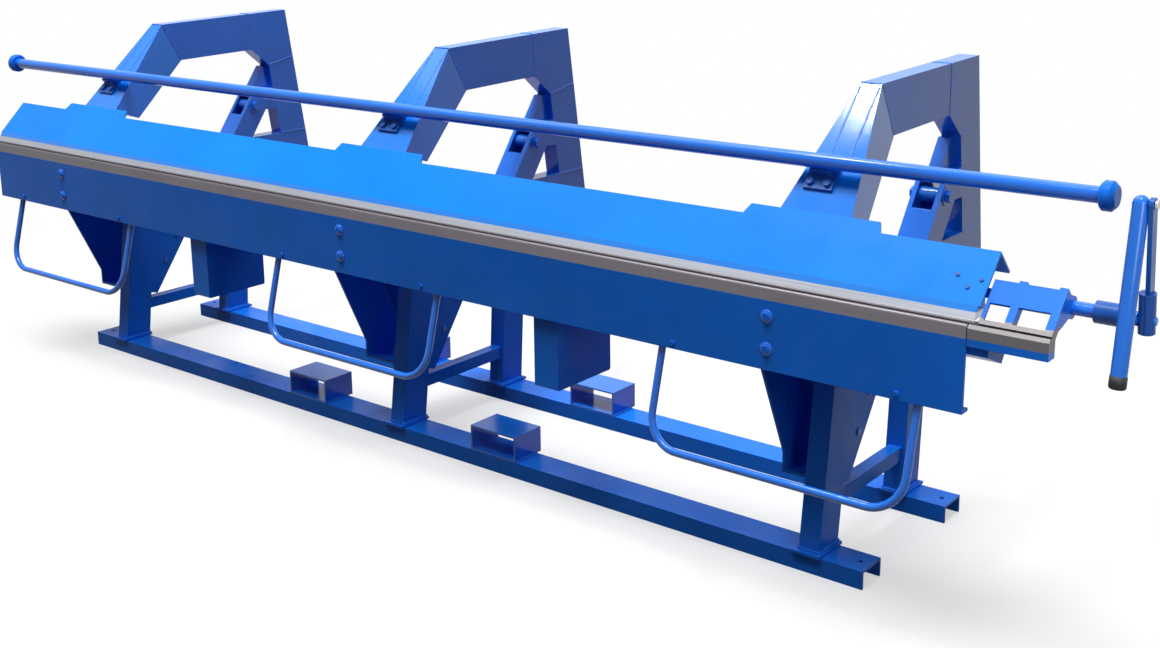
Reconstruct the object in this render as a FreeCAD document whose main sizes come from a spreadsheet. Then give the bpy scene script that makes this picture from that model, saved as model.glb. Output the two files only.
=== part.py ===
import FreeCAD, Part
import math
import os
import re
import Sketcher

# A manual folding machine for roofing sheet, in millimetres.
# X runs along the machine to its right end, Y to the rear and Z up.
# The origin lies on the rails' upper faces, at the centre of the four anchor holes.

# Driving dimensions: alias, value, meaning
SIZES = (
    ("rail_overhang", 160, "floor rail past the outer frames' centres"),
    ("rail_width", 100, "floor rail, across"),
    ("rail_height", 50, "floor rail, height"),
    ("rail_wall", 6, "floor rail, wall of the channel"),
    ("rail_spacing", 485, "front rail to rear rail, centre to centre"),
    ("anchor_inset", 32, "anchor hole from the rail's end"),
    ("anchor_hole", 14, "anchor hole, diameter"),
    ("pocket_pitch", 848, "fork pockets, centre to centre"),
    ("pocket_width", 180, "fork pocket, along X"),
    ("pocket_depth", 120, "fork pocket, along Y"),
    ("pocket_height", 80, "fork pocket, height"),
    ("pocket_wall", 5, "fork pocket, wall"),
    ("frame_inset", 469, "outer frame's centre inside the beams' ends"),
    ("box_width", 60, "width of the frames' box section"),
    ("foot_width", 84, "foot plate, along X"),
    ("foot_depth", 122, "foot plate, along Y"),
    ("foot_thickness", 8, "foot plate, thickness"),
    ("leg_depth", 100, "leg, along Y"),
    ("front_leg_back", 10, "front leg's foot behind the rail's front edge"),
    ("front_leg_lean", 77, "front leg, top further back than its foot"),
    ("rear_leg_lean", 40, "rear leg, top further back than its foot"),
    ("tie_size", 40, "square tie bar between front and rear leg"),
    ("tie_z", 150, "tie bar's underside above the floor"),
    ("frame_top_z", 1262, "height of the frame's rear top corner"),
    ("frame_rear_y", 867, "rear top corner of the frame, Y"),
    ("beam_tilt", 1.7, "rise of the frames' top beam to the rear, degrees"),
    ("beam_depth", 145, "depth of the frames' top beam"),
    ("frame_root_setback", 77.5, "front end of the top beam's underside behind its top's"),
    ("knee_run", 84, "chamfer in the frame's inner corner, along Y"),
    ("knee_rise", 75, "chamfer's lower end below the top beam, at the frame's rear"),
    ("post_depth", 132, "post, along Y"),
    ("post_lean", 8.5, "lean of the post, degrees"),
    ("arm_tilt", 1.72, "nose arm's face, steeper than the sheet, degrees"),
    ("arm_foot_rise", 24, "nose arm's front foot above the sheet's ridge"),
    ("arm_heel_y", 100, "nose arm's rear foot, Y"),
    ("arm_heel_z", 910, "nose arm's rear foot, Z"),
    ("arm_foot_width", 200, "nose arm's foot, along X"),
    ("clamp_z", 798, "height of the clamping line"),
    ("clamp_gap", 0.5, "gap between the closed jaws"),
    ("jaw_thickness", 32, "jaw bar, height"),
    ("jaw_depth", 70, "jaw bar, along Y"),
    ("jaw_overhang", 14, "jaw bar past the bending beam's left end"),
    ("jaw_setback", 4, "lower jaw's face behind the nose bar's tip, beyond the blade's gap"),
    ("beam_setback", 10, "lower beam behind the lower jaw's face"),
    ("beam_length", 3968, "bending beam, length"),
    ("lower_inset", 100, "lower beam's ends inside the bending beam's"),
    ("lower_height", 126, "lower beam, height"),
    ("lower_depth", 200, "lower beam, along Y"),
    ("lower_wall", 12, "lower beam, wall"),
    ("cheek_thickness", 8, "cheek of the V bracket"),
    ("bracket_span", 208, "V bracket, along X"),
    ("bracket_span_right", 138, "right V bracket, along X"),
    ("cheek_run", 0.455, "slope of the cheek's front edge, Y for each millimetre of height"),
    ("cheek_front_y", 50, "cheek's front edge at its lower end"),
    ("cheek_knee_z", 290, "height where the cheek's front edge turns upright"),
    ("cheek_low_z", 235, "cheek's front lower corner above the floor"),
    ("cheek_toe_z", 206, "V bracket's lowest edge above the floor"),
    ("strut_angle", 54.5, "slope of the diagonal brace, degrees"),
    ("strut_foot_y", 157, "place on the brace's line, Y"),
    ("strut_foot_z", 205, "place on the brace's line, Z"),
    ("brace_width", 90, "brace, along X"),
    ("brace_depth", 90, "brace, depth of the channel"),
    ("brace_wall", 6, "brace, web thickness"),
    ("brace_flange", 4, "brace, flange thickness"),
    ("brace_shoulder_z", 950, "top of the brace's wide part"),
    ("brace_neck", 40, "brace above its shoulder, along X"),
    ("neck_wall", 4, "wall of the brace's neck"),
    ("brace_top_width", 18.7, "top of the brace's neck, along Y"),
    ("brace_skirt", 90, "brace's flanges below the top of the lower arm"),
    ("window_low_z", 852, "lower edge of the brace's window"),
    ("window_high_z", 925, "upper edge of the brace's window"),
    ("window_left", 14, "brace's window from the brace's left side"),
    ("window_right", 16, "brace's window from the brace's right side"),
    ("lug_radius", 22, "frame's lug for the brace's bolt, radius"),
    ("ear_radius", 28, "boss of the brace round its bolt, radius"),
    ("ear_rise", 3, "boss of the brace, on each side"),
    ("ear_z", 883, "height of the brace's bolt"),
    ("ear_setback", 38, "brace's bolt behind the brace's front face"),
    ("ear_bolt", 20, "brace's bolt, diameter"),
    ("link_width", 36, "link bar between the cheeks"),
    ("link_thickness", 12, "link bar, thickness"),
    ("link_pin", 20, "link pin, diameter"),
    ("link_pin_end", 4, "link pin past each cheek"),
    ("front_link_y", 205, "front link's pin, Y"),
    ("front_link_z", 330, "front link's pin, Z"),
    ("rear_link_y", 261, "rear link's pin, Y"),
    ("rear_link_z", 425, "rear link's pin, Z"),
    ("front_link_inset", 33, "front link's centre inside the V bracket's left face"),
    ("rear_link_x", -50, "rear link's centre from the frame's"),
    ("tube_diameter", 38, "front tube, outer diameter"),
    ("tube_wall", 3.2, "front tube, wall"),
    ("tube_left", 161, "front tube past the beams' left end"),
    ("tube_right", 201, "front tube past the beams' right end"),
    ("tube_y", 50, "front tube's axis, Y"),
    ("tube_z", 1074, "front tube's axis, Z"),
    ("cap_diameter", 68, "tube end cap, diameter"),
    ("cap_length", 34, "tube end cap, length outside the tube"),
    ("cap_bevel", 10, "tube end cap, bevel"),
    ("cap_spigot", 30, "tube end cap, length inside the tube"),
    ("bracket_shift", -20, "tube bracket's centre from the frame's"),
    ("bracket_width", 80, "tube bracket's base, along X"),
    ("bracket_plate", 8, "tube bracket's base, thickness"),
    ("bracket_lower", 60, "tube bracket's base below the tube"),
    ("bracket_upper", 30, "tube bracket's base above the tube"),
    ("saddle_width", 50, "tube bracket's saddle, along X"),
    ("saddle_length", 48, "tube bracket's saddle, up the slope"),
    ("saddle_drop", 7.6, "tube bracket's saddle below the tube's axis"),
    ("bracket_bolt", 12, "tube bracket's bolt, diameter"),
    ("bracket_bolt_x", 24, "tube bracket's bolts, from the centre"),
    ("bracket_bolt_drop", 42, "tube bracket's bolts, below the tube"),
    ("sheet_slope", 45, "slope of the upper sheet, degrees"),
    ("sheet_edge_y", -135, "lower front edge of the upper sheet, Y"),
    ("sheet_edge_z", 834, "lower front edge of the upper sheet, Z"),
    ("sheet_overhang", 16, "upper sheet past the beams' ends"),
    ("sheet_height", 146, "upper sheet, up the slope to its ridge"),
    ("sheet_thickness", 6, "upper sheet, thickness"),
    ("flange_depth", 82, "flange behind the ridge"),
    ("tab_height", 30, "tab above the ridge at each frame"),
    ("tab_width", 356, "tab, along X at its top"),
    ("tab_taper", 12, "tab, wider at its base on each side"),
    ("tab_gap", 1, "sheet's underside to the nose arm's face"),
    ("nose_overhang", 11, "nose bar past the beams' ends"),
    ("nose_reach", 19, "nose bar's tip in front of the sheet's edge"),
    ("nose_drop", 28, "nose bar's tip below the sheet's edge"),
    ("nose_depth", 45, "nose bar's flat underside, along Y"),
    ("nose_nib", 3, "nose bar's tip in front of its flat underside"),
    ("nose_heel", 13, "nose bar's bevel behind its flat underside"),
    ("nose_back", 45, "nose bar's contact with the sheet, up the slope"),
    ("shaft_y", -34, "clamping shaft's axis, Y"),
    ("shaft_z", 838, "clamping shaft's axis, Z"),
    ("shaft_diameter", 32, "clamping shaft, outer end"),
    ("shaft_inner", 24, "clamping shaft, through the machine"),
    ("shaft_seat", 20, "clamping shaft inside the crank hub"),
    ("shaft_tail", 45, "clamping shaft past the left frame's centre"),
    ("shaft_overhang", 361, "clamping shaft past the beams' right end"),
    ("shaft_thick", 215, "thick part of the shaft, with the hub's seat"),
    ("shaft_bevel", 2, "bevel of the clamping shaft's ends"),
    ("bore_clearance", 0.05, "running clearance in a bore, on the radius"),
    ("pin_clearance", 0.1, "handle pin's running clearance in the crank arm, on the radius"),
    ("hole_clearance", 0.25, "clearance round a bolt, on the radius"),
    ("cut_margin", 1, "how far a cutting shape runs past a face"),
    ("head_ratio", 0.62, "bolt head's height for each millimetre of diameter"),
    ("corner_ratio", 0.87, "bolt head's corner radius for each millimetre of diameter"),
    ("cam_throw", 12, "eccentricity of the lifting cams"),
    ("cam_diameter", 52, "lifting cam, diameter"),
    ("cam_width", 20, "lifting cam, along X"),
    ("cam_x", 30, "lifting cam's centre from the frame's"),
    ("yoke_width", 12, "lift yoke, along X"),
    ("yoke_lower_gap", 4, "cam to the yoke's lower side"),
    ("yoke_upper_gap", 0.9, "cam to the yoke's upper side"),
    ("yoke_wall", 25, "yoke above the cam's slot"),
    ("yoke_end_gap", 2, "yoke's lower jaw past the cam"),
    ("yoke_foot_gap", 2, "yoke's lower edge above the nose bar's underside"),
    ("yoke_upper_depth", 20, "yoke's upper jaw short of the shaft's axis"),
    ("hanger_root", 66, "shaft hanger at the nose arm, along Y"),
    ("hanger_width", 20, "shaft hanger, along X"),
    ("hanger_radius", 24, "shaft hanger round the shaft"),
    ("sleeve_diameter", 50, "sleeve on the shaft's outer end"),
    ("sleeve_inset", 127, "sleeve's left end from the shaft's right end"),
    ("sleeve_length", 72, "sleeve, along X"),
    ("hub_diameter", 36, "crank hub, diameter"),
    ("hub_inset", 21, "crank hub's centre from the shaft's right end"),
    ("hub_below", 29, "crank hub below the shaft's axis"),
    ("hub_above", 62, "crank hub above the shaft's axis"),
    ("crank_lean", 8, "lean of the crank arm to the front, degrees"),
    ("arm_length", 257, "shaft's axis to the handle's pin"),
    ("arm_width", 30, "crank arm, across"),
    ("arm_thickness", 10, "crank arm, along X"),
    ("arm_inset", 17, "crank arm's inner face from the hub's inner side"),
    ("arm_gap", 1.5, "crank arm to handle tube"),
    ("handle_diameter", 35, "handle tube, outer diameter"),
    ("handle_wall", 3, "handle tube, wall"),
    ("handle_length", 380, "handle tube below its pin"),
    ("handle_lean", 9.5, "lean of the hanging handle to the front, degrees"),
    ("handle_pin", 12, "handle's pin, diameter"),
    ("pin_head", 20, "handle pin's head, diameter"),
    ("pin_head_length", 5, "handle pin's head, thickness"),
    ("pin_play", 1, "handle pin's head to the crank arm"),
    ("plug_length", 20, "plug in the handle's lower end"),
    ("plug_recess", 3, "plug inside the handle's end"),
    ("blade_thickness", 16, "bending blade, along Y"),
    ("blade_height", 32, "bending blade above the plate"),
    ("blade_gap", 0.4, "bending blade to the lower jaw"),
    ("blade_tongue", 26, "bending blade behind the plate"),
    ("plate_height", 176, "bending plate below the blade"),
    ("plate_thickness", 8, "bending plate, thickness"),
    ("plate_return", 32, "return flange at the plate's lower edge, with the plate"),
    ("pivot_diameter", 8, "bending beam's pivot pin, diameter"),
    ("pivot_depth", 34, "pivot pin inside the blade"),
    ("pivot_gap", 2, "blade's end to the pivot lug"),
    ("lug_thickness", 12, "pivot lug, along X"),
    ("loop_diameter", 20, "hand loop, bar diameter"),
    ("loop_span", 710, "hand loop, between its ends"),
    ("loop_drop", 262, "hand loop below the plate"),
    ("loop_corner", 90, "hand loop, corner radius"),
    ("loop_tilt", 15, "hand loop, tilt to the front, degrees"),
    ("loop_setback", 22, "hand loop's ends behind the plate's face"),
    ("housing_offset", 12.5, "balance box's centre outside the middle of two frames"),
    ("housing_width", 85, "balance box, along X"),
    ("housing_depth", 235, "balance box, along Y"),
    ("housing_drop", 255, "balance box below the lower beam"),
    ("housing_bevel", 4, "balance box, bevel of its edges"),
    ("housing_room", 15, "notch in the plate's return flange beside a balance box"),
    ("beam_bolt", 12, "bolts in the bending plate, diameter"),
    ("beam_bolt_x", -34, "bolts in the bending plate, from the frame's centre"),
    ("upper_bolt_drop", 40, "upper bolt below the plate's top"),
    ("lower_bolt_drop", 122, "lower bolt below the plate's top"),
    ("loop_bolt_rise", 16, "loop's bolts above the plate's lower edge"),
    ("loop_bolt_x", 45, "loop's bolts inside the loop's ends"),
    ("loop_bolt", 8, "loop's bolts, diameter"),
    ("runout_length", 182, "run-out frame past the lower jaw, along X"),
    ("runout_gap", 5, "upper sheet's end to the run-out frame"),
    ("runout_offset", 10, "run-out frame's face below the sheet's face"),
    ("runout_plate", 8, "run-out frame's plate, thickness"),
    ("runout_bar_height", 49, "run-out frame's bar, height"),
    ("runout_top", 80, "run-out frame's upper edge, up the slope"),
    ("runout_rail", 60, "run-out frame's upper rail"),
    ("runout_sill", 12, "run-out frame's lower rail"),
    ("runout_bar_short", 50, "run-out bar's rear short of the lower jaw's rear"),
    ("runout_foot", 3, "run-out frame's plate let into its bar"),
    ("bearing_wall", 10, "run-out frame's bearing round the shaft"),
    ("cheek_nose", 35, "run-out frame's cheek in front of its bearing"),
    ("cheek_rise", 20, "height of that corner over the bearing's axis"),
    ("rung_width", 19, "run-out frame's rungs, along X"),
    ("rung_inner", 8, "run-out frame's inner rung, along X"),
    ("rung_middle", 55, "middle rung from the frame's inner end"),
    ("rung_middle_width", 18, "middle rung, along X"),
    ("rung_depth", 25, "rungs, depth behind the frame's face"),
    ("rung_rise", 6, "rungs above the frame's upper edge"),
    ("bracket_drop", 74, "run-out bracket below the bar"),
    ("bracket_reach", 46, "run-out bracket past the bending beam's end"),
    ("bracket_depth", 100, "run-out bracket, along Y"),
    ("bracket_toe", 80, "run-out bracket's lowest corner, along Y"),
    ("bracket_front_rise", 34, "run-out bracket's front corner above its lowest"),
    ("bracket_rear_rise", 28, "run-out bracket's rear corner above its lowest"),
    ("screw_diameter", 10, "screw heads at the sheet's right end"),
    ("screw_height", 3, "screw heads, height"),
    ("outer_screw_inset", 19, "outer screw from the sheet's right end"),
    ("outer_screw_rise", 67, "outer screw, up the slope"),
    ("middle_screw_inset", 44, "middle screw from the sheet's right end"),
    ("middle_screw_rise", 43, "middle screw, up the slope"),
    ("inner_screw_inset", 76, "inner screw from the sheet's right end"),
    ("inner_screw_rise", 71, "inner screw, up the slope"),
)

doc = FreeCAD.newDocument("RoofingSheetFolder")
sheet = doc.addObject("Spreadsheet::Sheet", "Sizes")
for row, (alias, number, meaning) in enumerate(SIZES, start=1):
    sheet.set(f"A{row}", meaning)
    sheet.set(f"B{row}", str(number))
    sheet.setAlias(f"B{row}", alias)
doc.recompute()

ALIAS = re.compile(r"\b(" + "|".join(name for name, number, meaning in SIZES) + r")\b")
X_AXIS = FreeCAD.Vector(1, 0, 0)
PIECES = []

# Places that several pieces share, as formulas of the driving dimensions
ORIGIN_Y = "(rail_width + rail_spacing) / 2"
ORIGIN_Z = "rail_height"
FRAME_PITCH = "(beam_length / 2 - frame_inset)"
FRAMES = {"left": f"-{FRAME_PITCH}", "middle": "0", "right": FRAME_PITCH}
RAIL_LENGTH = f"(2 * {FRAME_PITCH} + 2 * rail_overhang)"
SHEET_LENGTH = "(beam_length + 2 * sheet_overhang)"
SHAFT_END = "(beam_length / 2 + shaft_overhang)"
HUB_X = f"({SHAFT_END} - hub_inset)"
REAR_RAIL_Y = "rail_spacing"
LEG_FOOT_Z = "(rail_height + foot_thickness)"
BEAM_TOP_Z = "(clamp_z - jaw_thickness)"
BEAM_BOTTOM_Z = "(clamp_z - jaw_thickness - lower_height)"
ARM_TOP_Z = f"({BEAM_TOP_Z} - lower_wall)"
ARM_BOTTOM_Z = f"({BEAM_BOTTOM_Z} + lower_wall)"
KNEE_END_Z = "(frame_top_z - beam_depth - knee_rise)"
KNEE_END_Y = f"(frame_rear_y + (frame_top_z - {KNEE_END_Z}) * tan(post_lean) - post_depth)"
JAW_FRONT_Y = "(sheet_edge_y - nose_reach + blade_gap + jaw_setback)"
BEAM_FRONT_Y = f"({JAW_FRONT_Y} + beam_setback)"
BEAM_REAR_Y = f"({BEAM_FRONT_Y} + lower_depth)"
PIVOT_Y = f"({JAW_FRONT_Y} - blade_gap - blade_thickness / 2)"
PIVOT_Z = "(clamp_z - blade_thickness / 2)"
PLATE_FRONT_Y = f"({JAW_FRONT_Y} - blade_gap - blade_thickness)"
PLATE_TOP_Z = "(clamp_z - blade_height)"
PLATE_BOTTOM_Z = f"({PLATE_TOP_Z} - plate_height)"
RUNOUT_LOW_Z = "(clamp_z - runout_bar_height)"
ARM_FACE = "(sheet_thickness + tab_gap)"
ARM_ANGLE = "(sheet_slope + arm_tilt)"
BRACE_CENTRE = "(box_width / 2 + hole_clearance + brace_flange - brace_width / 2)"
BALANCE_X = f"({FRAME_PITCH} / 2 + housing_offset)"
BRACKETS = {"left": "bracket_span", "middle": "bracket_span", "right": "bracket_span_right"}


def bind(text):
    """Point a formula's words at the sheet's cells."""
    return ALIAS.sub(r"Sizes.\1", text)


def value(text):
    """Work a formula out."""
    return float(sheet.evalExpression(text))


def slope_y(along, out):
    """Y of a place given up the sheet's slope and out of its face."""
    return f"(sheet_edge_y + ({along}) * cos(sheet_slope) - ({out}) * sin(sheet_slope))"


def slope_z(along, out):
    """Z of a place given up the sheet's slope and out of its face."""
    return f"(sheet_edge_z + ({along}) * sin(sheet_slope) + ({out}) * cos(sheet_slope))"


def on_slope(y, z):
    """Place along and out of the sheet's slope of a point given by Y and Z."""
    along = f"((({y}) - sheet_edge_y) * cos(sheet_slope) + (({z}) - sheet_edge_z) * sin(sheet_slope))"
    out = f"((({z}) - sheet_edge_z) * cos(sheet_slope) - (({y}) - sheet_edge_y) * sin(sheet_slope))"
    return along, out


def strut_y(z):
    """Front face of the diagonal brace at a height."""
    return f"(strut_foot_y + (({z}) - strut_foot_z) / tan(strut_angle))"


def post_front_y(z):
    """Front face of the post at a height."""
    return f"({KNEE_END_Y} + ({KNEE_END_Z} - ({z})) * tan(post_lean))"


def post_rear_y(z):
    """Rear face of the post at a height."""
    return f"(frame_rear_y + (frame_top_z - ({z})) * tan(post_lean))"


def meet_post_z(depth):
    """Height where a line parallel to the brace, further back by depth, meets the post."""
    gap = f"{KNEE_END_Y} + {KNEE_END_Z} * tan(post_lean) - strut_foot_y - {depth}"
    return f"(({gap} + strut_foot_z / tan(strut_angle)) / (tan(post_lean) + 1 / tan(strut_angle)))"


def beam_top_z(y):
    """Top of the frames' top beam at a place along Y."""
    return f"(frame_top_z - (frame_rear_y - ({y})) * tan(beam_tilt))"


def leg_front_y(foot, lean, z):
    """Front face of a leg at a height, from its foot's Y and its lean."""
    return f"({foot} + {lean} * (({z}) - {LEG_FOOT_Z}) / ({ARM_BOTTOM_Z} - {LEG_FOOT_Z}))"


FOOT_Y = slope_y("(sheet_height + arm_foot_rise)", f"-{ARM_FACE}")
FOOT_Z = slope_z("(sheet_height + arm_foot_rise)", f"-{ARM_FACE}")
FACE_FALL = f"(sin({ARM_ANGLE}) - cos({ARM_ANGLE}) * tan(beam_tilt))"
FACE_LENGTH = f"(({beam_top_z(FOOT_Y)} - {FOOT_Z}) / {FACE_FALL})"
HEAD_Y = f"({FOOT_Y} + {FACE_LENGTH} * cos({ARM_ANGLE}))"
HEAD_Z = f"({FOOT_Z} + {FACE_LENGTH} * sin({ARM_ANGLE}))"
ROOT_Y = f"({HEAD_Y} + frame_root_setback)"
ROOT_Z = f"({beam_top_z(ROOT_Y)} - beam_depth)"
KNEE_START_Y = f"({KNEE_END_Y} - knee_run)"
FRONT_LEG_Y = "(front_leg_back + (rail_width - leg_depth) / 2)"
REAR_LEG_Y = f"({REAR_RAIL_Y} + (rail_width - leg_depth) / 2)"


def put(item, x="0", y="0", z="0", tilt="0"):
    """Place an object, turned by tilt degrees about X."""
    turn = FreeCAD.Rotation(X_AXIS, value(tilt))
    if tilt != "0":
        turn = FreeCAD.Rotation(X_AXIS, value(tilt) or 1)
    item.Placement = FreeCAD.Placement(FreeCAD.Vector(), turn)
    item.setExpression("Placement.Base.x", bind(x))
    item.setExpression("Placement.Base.y", bind(f"({y}) - {ORIGIN_Y}"))
    item.setExpression("Placement.Base.z", bind(f"({z}) - {ORIGIN_Z}"))
    if tilt != "0":
        item.setExpression("Placement.Rotation.Angle", bind(tilt))
    return item


def keep(item, label):
    """Name a finished sub-part."""
    item.Label = label
    PIECES.append(item)
    return item


def new_body(name):
    return doc.addObject("PartDesign::Body", name)


def new_sketch(body, role, offset):
    """An empty sketch on one of the body's own planes, moved along its normal."""
    sketch = body.newObject("Sketcher::SketchObject", "Sketch")
    plane = [item for item in body.Origin.OriginFeatures if item.Role == role][0]
    sketch.AttachmentSupport = [(plane, "")]
    sketch.MapMode = "FlatFace"
    if offset != "0":
        sketch.setExpression("AttachmentOffset.Base.z", bind(offset))
    return sketch


def pin_point(sketch, edge, end, place, tag):
    """Fix a sketch point at a place given by two formulas."""
    for kind, axis, text in zip(("DistanceX", "DistanceY"), "xy", place):
        rule = Sketcher.Constraint(kind, -1, 1, edge, end, value(text))
        name = f"{tag}_{axis}"
        sketch.renameConstraint(sketch.addConstraint(rule), name)
        sketch.setExpression(f"Constraints.{name}", bind(text))


def draw_outline(sketch, corners):
    """Draw one closed outline of straight lines."""
    first = sketch.GeometryCount
    places = [FreeCAD.Vector(value(across), value(up), 0) for across, up in corners]
    count = len(corners)
    for index in range(count):
        line = Part.LineSegment(places[index], places[(index + 1) % count])
        sketch.addGeometry(line)
    for index in range(count):
        edge = first + index
        following = first + (index + 1) % count
        sketch.addConstraint(Sketcher.Constraint("Coincident", edge, 2, following, 1))
        pin_point(sketch, edge, 1, corners[index], f"corner{edge}")


def outline(body, role, corners, offset="0"):
    """A sketch with one closed outline of straight lines."""
    sketch = new_sketch(body, role, offset)
    draw_outline(sketch, corners)
    return sketch


def outlines(body, role, shapes, offset="0"):
    """A sketch with several closed outlines."""
    sketch = new_sketch(body, role, offset)
    for corners in shapes:
        draw_outline(sketch, corners)
    return sketch


def rings(body, role, centres, radius, offset="0"):
    """A sketch with circles of one radius."""
    sketch = new_sketch(body, role, offset)
    for edge, place in enumerate(centres):
        centre = FreeCAD.Vector(value(place[0]), value(place[1]), 0)
        sketch.addGeometry(Part.Circle(centre, FreeCAD.Vector(0, 0, 1), value(radius)))
        pin_point(sketch, edge, 3, place, f"centre{edge}")
        rule = sketch.addConstraint(Sketcher.Constraint("Radius", edge, value(radius)))
        sketch.renameConstraint(rule, f"radius{edge}")
        sketch.setExpression(f"Constraints.radius{edge}", bind(radius))
    return sketch


def rectangle(left, right, low, high):
    return [(left, low), (right, low), (right, high), (left, high)]


def pad(body, sketch, length, symmetric=True):
    feature = body.newObject("PartDesign::Pad", "Pad")
    feature.Profile = sketch
    feature.Midplane = symmetric
    feature.setExpression("Length", bind(length))
    return feature


def pocket(body, sketch, length, symmetric=True, reverse=False):
    feature = body.newObject("PartDesign::Pocket", "Pocket")
    feature.Profile = sketch
    feature.Midplane = symmetric
    feature.Reversed = reverse
    feature.setExpression("Length", bind(length))
    return feature


def slab(name, corners, width, offset="0"):
    """A body with one outline in the YZ plane, extruded along X about its middle."""
    body = new_body(name)
    pad(body, outline(body, "YZ_Plane", corners, offset), width)
    return body


def box(name, x, y, z, length, width, height):
    item = doc.addObject("Part::Box", name)
    for side, text in zip(("Length", "Width", "Height"), (length, width, height)):
        item.setExpression(side, bind(text))
    return put(item, x, y, z)


def rod(name, radius, length, x, y="0", z="0", placed=True):
    """A cylinder along X from x, in the machine's frame or in its own."""
    item = doc.addObject("Part::Cylinder", name)
    item.setExpression("Radius", bind(radius))
    item.setExpression("Height", bind(length))
    item.Placement.Rotation = FreeCAD.Rotation(FreeCAD.Vector(0, 1, 0), 90)
    item.setExpression("Placement.Base.x", bind(x))
    item.setExpression("Placement.Base.y", bind(f"({y}) - {ORIGIN_Y}" if placed else y))
    item.setExpression("Placement.Base.z", bind(f"({z}) - {ORIGIN_Z}" if placed else z))
    return item


def cut(name, base, tool):
    item = doc.addObject("Part::Cut", name)
    item.Base = base
    item.Tool = tool
    return item


def fuse(name, shapes):
    item = doc.addObject("Part::MultiFuse", name)
    item.Shapes = shapes
    return item


def group(name, shapes):
    item = doc.addObject("Part::Compound", name)
    item.Links = shapes
    return item


# Base


def make_rail(label, y):
    """A channel, open downwards, with an anchor hole near each end."""
    body = new_body(label)
    inner_right = "rail_width - rail_wall"
    inner_top = "rail_height - rail_wall"
    section = [
        ("0", "0"), ("0", "rail_height"), ("rail_width", "rail_height"), ("rail_width", "0"),
        (inner_right, "0"), (inner_right, inner_top), ("rail_wall", inner_top), ("rail_wall", "0"),
    ]
    pad(body, outline(body, "YZ_Plane", section), RAIL_LENGTH)
    reach = f"{RAIL_LENGTH} / 2 - anchor_inset"
    centres = [(f"-({reach})", "rail_width / 2"), (reach, "rail_width / 2")]
    holes = rings(body, "XY_Plane", centres, "anchor_hole / 2")
    pocket(body, holes, "3 * rail_height")
    keep(put(body, "0", y, "0"), label)


def make_fork_pocket(label, x, y):
    """A rectangular tube on the rail, open to the front and the rear."""
    left = f"{x} - pocket_width / 2"
    outer = box(f"{label}_outer", left, y, "rail_height", "pocket_width", "pocket_depth", "pocket_height")
    inner_left = f"{left} + pocket_wall"
    inner = box(
        f"{label}_inner", inner_left, f"{y} - cut_margin", "rail_height + pocket_wall",
        "pocket_width - 2 * pocket_wall", "pocket_depth + 2 * cut_margin",
        "pocket_height - 2 * pocket_wall")
    keep(cut(label, outer, inner), label)


def make_foot_plates():
    """The plates between rails and legs, one for each leg."""
    plates = []
    for rail_y in ("0", REAR_RAIL_Y):
        for side, x in FRAMES.items():
            plates.append(box(
                f"foot_{side}", f"{x} - foot_width / 2", f"{rail_y} + (rail_width - foot_depth) / 2",
                "rail_height", "foot_width", "foot_depth", "foot_thickness"))
    keep(group("foot_plates", plates), "foot_plates")


def make_leg(label, x, foot, lean):
    """A box leg that leans to the rear, up to the frame's lower arm."""
    corners = [
        (foot, LEG_FOOT_Z), (f"{foot} + leg_depth", LEG_FOOT_Z),
        (f"{foot} + leg_depth + {lean}", ARM_BOTTOM_Z), (f"{foot} + {lean}", ARM_BOTTOM_Z),
    ]
    keep(put(slab(label, corners, "box_width"), x), label)


def make_tie_bars():
    """Bars between the front and rear legs, cut to the legs' leans."""
    high = "(tie_z + tie_size)"
    start = f"{FRONT_LEG_Y} + leg_depth"
    corners = [
        (leg_front_y(start, "front_leg_lean", "tie_z"), "tie_z"),
        (leg_front_y(REAR_LEG_Y, "rear_leg_lean", "tie_z"), "tie_z"),
        (leg_front_y(REAR_LEG_Y, "rear_leg_lean", high), high),
        (leg_front_y(start, "front_leg_lean", high), high),
    ]
    bars = [put(slab(f"tie_{side}", corners, "tie_size"), x) for side, x in FRAMES.items()]
    keep(group("tie_bars", bars), "tie_bars")


# Side frames


def make_frame(label, x):
    """The C-shaped frame: top beam, leaning post and lower arm, with the brace's lug."""
    inner_y = f"{BEAM_FRONT_Y} + lower_wall"
    corners = [
        (HEAD_Y, HEAD_Z), ("frame_rear_y", "frame_top_z"),
        (post_rear_y(ARM_BOTTOM_Z), ARM_BOTTOM_Z), (inner_y, ARM_BOTTOM_Z), (inner_y, ARM_TOP_Z),
        (post_front_y(ARM_TOP_Z), ARM_TOP_Z), (KNEE_END_Y, KNEE_END_Z),
        (KNEE_START_Y, f"{beam_top_z(KNEE_START_Y)} - beam_depth"), (ROOT_Y, ROOT_Z),
    ]
    body = slab(label, corners, "box_width")
    bolt_y = ear_y()
    low = "ear_z - lug_radius"
    high = "ear_z + lug_radius"
    width = "(brace_width - 2 * brace_flange - 2 * hole_clearance)"
    lug = [(bolt_y, low), (post_front_y(low), low), (post_front_y(high), high), (bolt_y, high)]
    pad(body, outline(body, "YZ_Plane", lug, BRACE_CENTRE), width)
    pad(body, rings(body, "YZ_Plane", [(bolt_y, "ear_z")], "lug_radius", BRACE_CENTRE), width)
    bore = rings(body, "YZ_Plane", [(bolt_y, "ear_z")], "ear_bolt / 2 + hole_clearance")
    pocket(body, bore, "2 * brace_width")
    keep(put(body, x), label)


def ear_y():
    """Y of the brace's bolt."""
    return f"({strut_y('ear_z')} + ear_setback)"


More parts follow.
